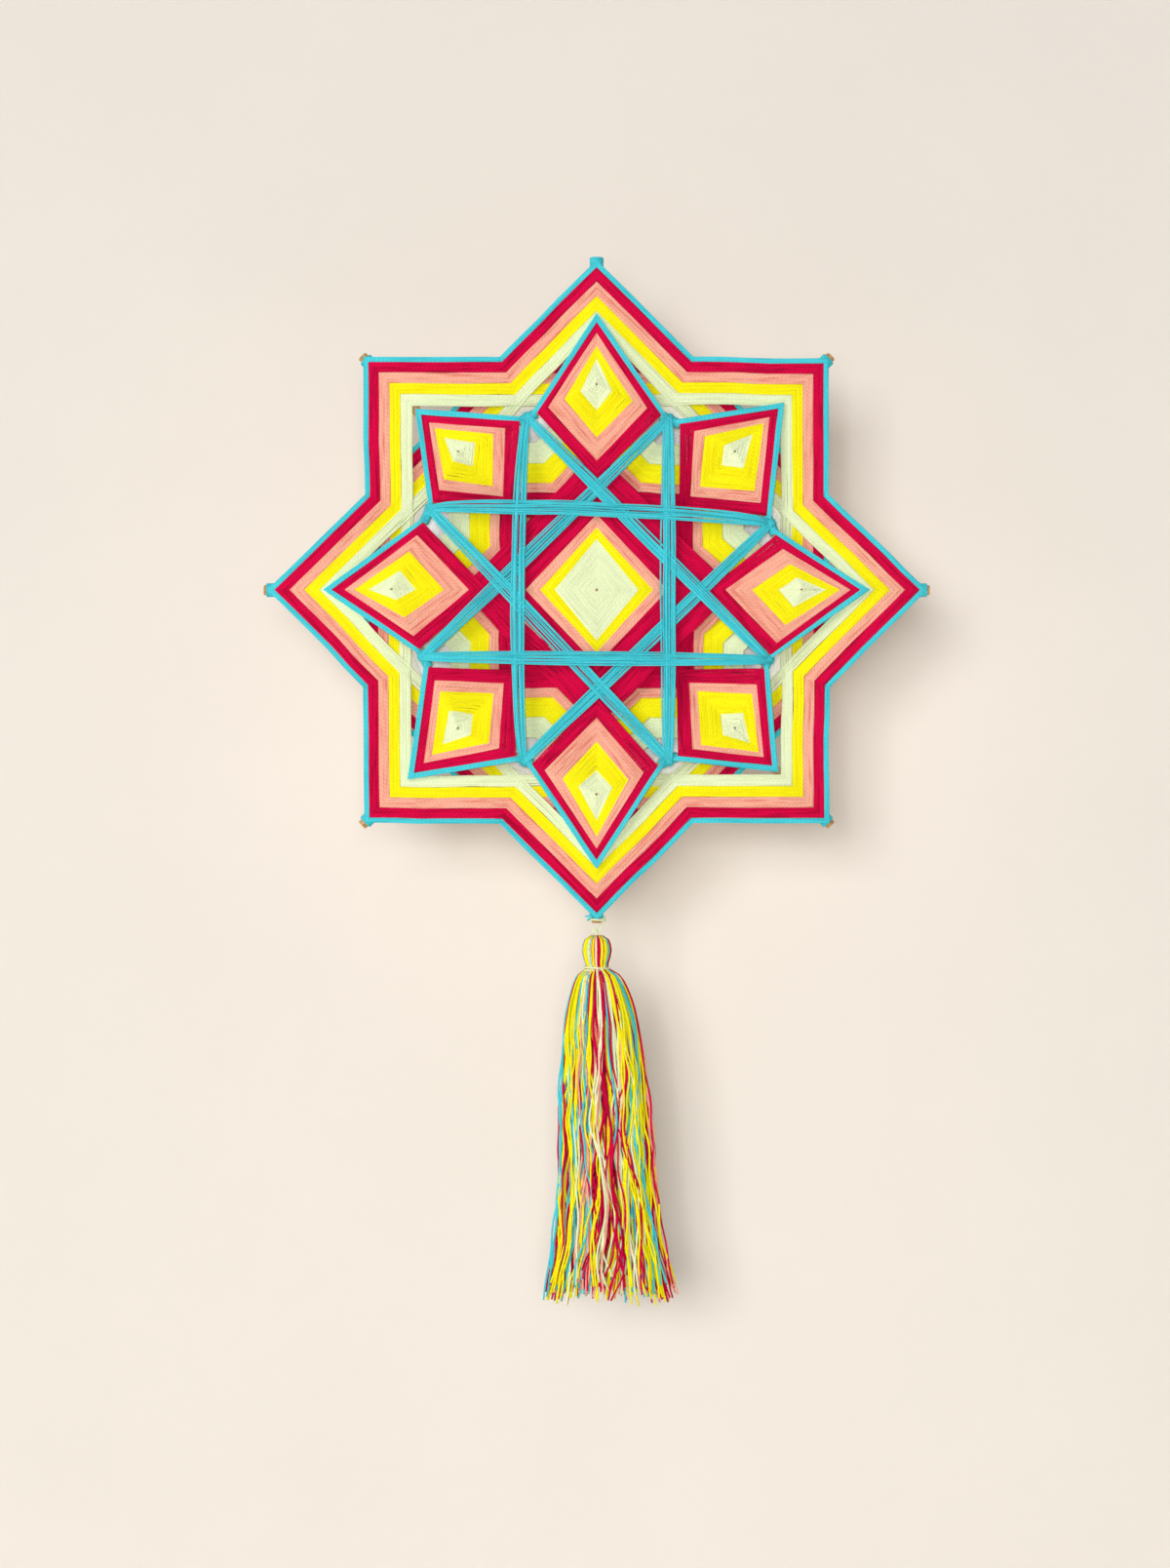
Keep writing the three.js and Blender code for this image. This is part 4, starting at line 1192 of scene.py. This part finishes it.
    def build(self, yarns: Yarns) -> None:
        """Make the threads and the hank, the hank as one piece for each yarn."""
        self.thread(yarns, "tassel_tie", Body.FRAME, self.tie_path(), False, self.thread_radius,
                    (0.0, 0.35, 0.94))
        turn = circle(self.link_points)
        link = np.stack([np.zeros(self.link_points), self.axis_depth + self.link_radius * np.cos(turn),
                         self.link_height + self.link_radius * np.sin(turn)], 1)
        self.thread(yarns, "tassel_link", Body.HANGER, link, True, self.thread_radius, (1.0, 0.0, 0.0))
        self.thread(yarns, "tassel_neck_tie", Body.TASSEL, self.neck_path(), False, self.neck_tie_radius,
                    (0.0, 0.2, 0.98))
        rng = np.random.default_rng(self.seed)
        paths = self.hank(rng)
        chosen = self.lock_yarns(rng).ravel()
        tints = rng.random(len(paths))
        for index, yarn in enumerate(self.order):
            mine = chosen == index
            piece = StrandPiece(f"strands_tassel_{yarn.value}", radius=self.strand_radius, ply_pitch=4.0)
            piece.add(paths[mine], DEPTH_AXIS, False, tints[mine])
            piece.build(yarns, yarn, "tassel_hank", Body.TASSEL, "tassel_yarn")


@dataclass
class Sticks:
    """Carried-over sticks, each with grain along its own arm."""

    finish: StickFinish = field(default_factory=StickFinish)
    grains: tuple[tuple[str, float], ...] = (
        ("stick_upright", 0.0), ("stick_level", 2.0), ("stick_rising", 1.0), ("stick_falling", 3.0),
        ("short_sticks_top", 2.0), ("short_sticks_right", 0.0), ("short_sticks_bottom", 2.0),
        ("short_sticks_left", 0.0),
    )

    def dress(self, nodes: dict[str, Object]) -> None:
        """Give each stick its own wood.

        Args:
            nodes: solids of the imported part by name.
        """
        for name, arm in self.grains:
            mesh = nodes[name].data
            mesh.materials.clear()
            mesh.materials.append(self.finish.material(f"wood_{name}", arm))
            LOG.info("%s: grain along arm %.0f", name, arm)


class WallLight(Enum):
    """What a lamp does with the wall: lights it like the rest, leaves it out or lights nothing else."""

    SHARED = ""
    LEFT_OUT = "EXCLUDE"
    ALONE = "INCLUDE"


@dataclass(frozen=True)
class Lamp:
    """Square area lamp that faces the ornament: its place, side and power."""

    name: str
    place: Place
    size: float
    power: float
    wall: WallLight = WallLight.SHARED


@dataclass
class Studio:
    """Pale wall and floor, soft light from the upper left and the front, and the photograph's camera.

    The wall stands behind the tassel's swing and has a lamp of its own, which casts the shadow of an
    ornament hung close to it. It is clear from behind, so that a rear lamp lights the back for views from
    there.
    """

    wall: Colour = (235, 228, 219)
    floor: Colour = (236, 232, 226)
    mottle: float = 0.04
    mottle_scale: float = 9.0
    wall_depth: float = 0.19
    floor_height: float = -0.86
    half_width: float = 2.5
    camera_target: Place = (-0.007, -0.005, -0.2746)
    camera_distance: float = 2.222
    lens: float = 85.0
    sensor: float = 36.0
    lamps: tuple[Lamp, ...] = (
        Lamp("key", (-2.5, -3.1, 1.4), 2.2, 84.0, WallLight.LEFT_OUT),
        Lamp("wash", (-0.92, -5.0, 0.26), 1.0, 95.0, WallLight.ALONE),
        Lamp("fill", (-0.1, -3.6, -0.2), 0.6, 54.0),
        Lamp("rear", (1.2, 3.2, 0.9), 2.2, 44.0),
    )
    sky: float = 0.15

    def plain_material(self, name: str, colour: Colour, one_sided: bool) -> Material:
        """Matt paint with a faint mottle.

        Args:
            name: name of the material.
            colour: colour of the paint.
            one_sided: whether it is clear from behind.

        Returns:
            The material.
        """
        shader = Shader(bpy.data.materials.new(name))
        place = shader.add("TexCoord").outputs["Object"]
        mottle = shader.noise(place, self.mottle_scale, 2.0)
        tone = shader.maths("MULTIPLY_ADD", mottle, self.mottle, 1.0 - self.mottle / 2.0)
        paint = shader.add("HueSaturation", Value=tone, Color=linear(colour)).outputs[0]
        surface = shader.add("BsdfPrincipled", Base_Color=paint, Roughness=0.95).outputs[0]
        if one_sided:
            behind = shader.add("NewGeometry").outputs["Backfacing"]
            clear = shader.add("BsdfTransparent").outputs[0]
            surface = shader.add("MixShader", in0=behind, in1=surface, in2=clear).outputs[0]
        return shader.surface(surface)

    def plane(self, name: str, corners: list[Place], material: Material) -> Object:
        """Make one flat stage piece.

        Args:
            name: name of the piece.
            corners: its four corners.
            material: its paint.

        Returns:
            The piece.
        """
        mesh = bpy.data.meshes.new(name)
        mesh.from_pydata(corners, [], [(0, 1, 2, 3)])
        mesh.materials.append(material)
        panel = bpy.data.objects.new(name, mesh)
        bpy.context.scene.collection.objects.link(panel)
        return panel

    def hang(self, lamp: Lamp, wall: Object) -> None:
        """Make a lamp and link it to what it lights.

        Args:
            lamp: the lamp's sizes.
            wall: panel that it may leave out or light alone.
        """
        light = bpy.data.lights.new(lamp.name, "AREA")
        light.size = lamp.size
        light.energy = lamp.power
        thing = bpy.data.objects.new(lamp.name, light)
        bpy.context.scene.collection.objects.link(thing)
        thing.location = lamp.place
        self.aim(thing)
        if lamp.wall is not WallLight.SHARED:
            group = bpy.data.collections.new(f"{lamp.name}_reach")
            group.objects.link(wall)
            thing.light_linking.receiver_collection = group
            group.collection_objects[0].light_linking.link_state = lamp.wall.value

    def aim(self, thing: Object) -> None:
        """Turn a lamp or camera towards the camera's target."""
        direction = Vector(self.camera_target) - thing.location
        thing.rotation_euler = direction.to_track_quat("-Z", "Y").to_euler()

    def build(self) -> None:
        """Make wall, floor, lamps, sky and camera."""
        half, back, low = self.half_width, self.wall_depth, self.floor_height
        high = 2.0 * half
        upright = [(-half, back, low), (half, back, low), (half, back, high), (-half, back, high)]
        wall = self.plane("wall", upright, self.plain_material("wall_paint", self.wall, True))
        wall.visible_shadow = False
        level = [(-half, -half, low), (half, -half, low), (half, half, low), (-half, half, low)]
        self.plane("floor", level, self.plain_material("floor_paint", self.floor, False))
        for lamp in self.lamps:
            self.hang(lamp, wall)
        scene = bpy.context.scene
        scene.view_settings.view_transform = "Standard"
        sky = Shader(bpy.data.worlds.new("sky"), "OutputWorld")
        seen = sky.add("LightPath").outputs["Is Camera Ray"]
        glow = sky.add("Background", Color=(1.0, 1.0, 1.0, 1.0), Strength=self.sky).outputs[0]
        backdrop = sky.add("Background", Color=linear(self.wall)).outputs[0]
        scene.world = sky.surface(sky.add("MixShader", in0=seen, in1=glow, in2=backdrop).outputs[0])
        data = bpy.data.cameras.new("camera")
        data.lens = self.lens
        data.sensor_width = self.sensor
        camera = bpy.data.objects.new("camera", data)
        scene.collection.objects.link(camera)
        x, depth, height = self.camera_target
        camera.location = (x, depth - self.camera_distance, height)
        self.aim(camera)
        scene.camera = camera


def outer_star() -> StarWinding:
    """Outer star, its colours from the outside in."""
    bands = (
        Band(Yarn.TURQUOISE, 3.1), Band(Yarn.CRIMSON, 6.2), Band(Yarn.SALMON, 6.2), Band(Yarn.YELLOW, 6.5),
        Band(Yarn.MINT, 7.0),
    )
    return StarWinding(
        "outer_star", 140.0, bands, wrapped=tuple(band.yarn for band in bands), seed=3, loose=(Yarn.MINT,),
        collars=(199.2, 197.2, 197.8, 197.0, 196.4, 196.8, 197.6, 196.6),
        loose_ends=(
            ((-3.0, -7.2, -195.6), (-4.2, -7.8, -195.2), (-5.4, -8.0, -195.8), (-7.0, -8.1, -195.5)),
            ((-2.6, -7.2, -196.2), (-3.9, -7.8, -196.5), (-5.0, -7.9, -197.5), (-5.5, -8.0, -198.6)),
        ),
    )


def inner_star() -> StarWinding:
    """Inner star, its colours from the outside in."""
    bands = (
        Band(Yarn.MINT, 12.4), Band(Yarn.YELLOW, 11.85), Band(Yarn.SALMON, 5.65), Band(Yarn.CRIMSON, 14.6),
    )
    return StarWinding(
        "inner_star", 88.4, bands, wrapped=(Yarn.MINT, Yarn.YELLOW), seed=5, unwoven=(Yarn.CRIMSON,),
    )


def main() -> None:
    """Load the part and build every piece on it."""
    logging.basicConfig(level=logging.INFO, format="%(name)s %(message)s")
    for thing in list(bpy.data.objects):
        bpy.data.objects.remove(thing)
    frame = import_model()
    Studio().build()
    yarns = {yarn: finish.material(f"yarn_{yarn.value}") for yarn, finish in FINISHES.items()}
    Sticks().dress(frame["nodes"])
    kites = KiteRound()
    for winding in (outer_star(), inner_star(), RearWeb(), CentreEye(), kites, ThreadNet(kites), Tassel()):
        winding.build(yarns)
    bpy.context.view_layer.update()


if __name__ == "__main__":
    main()
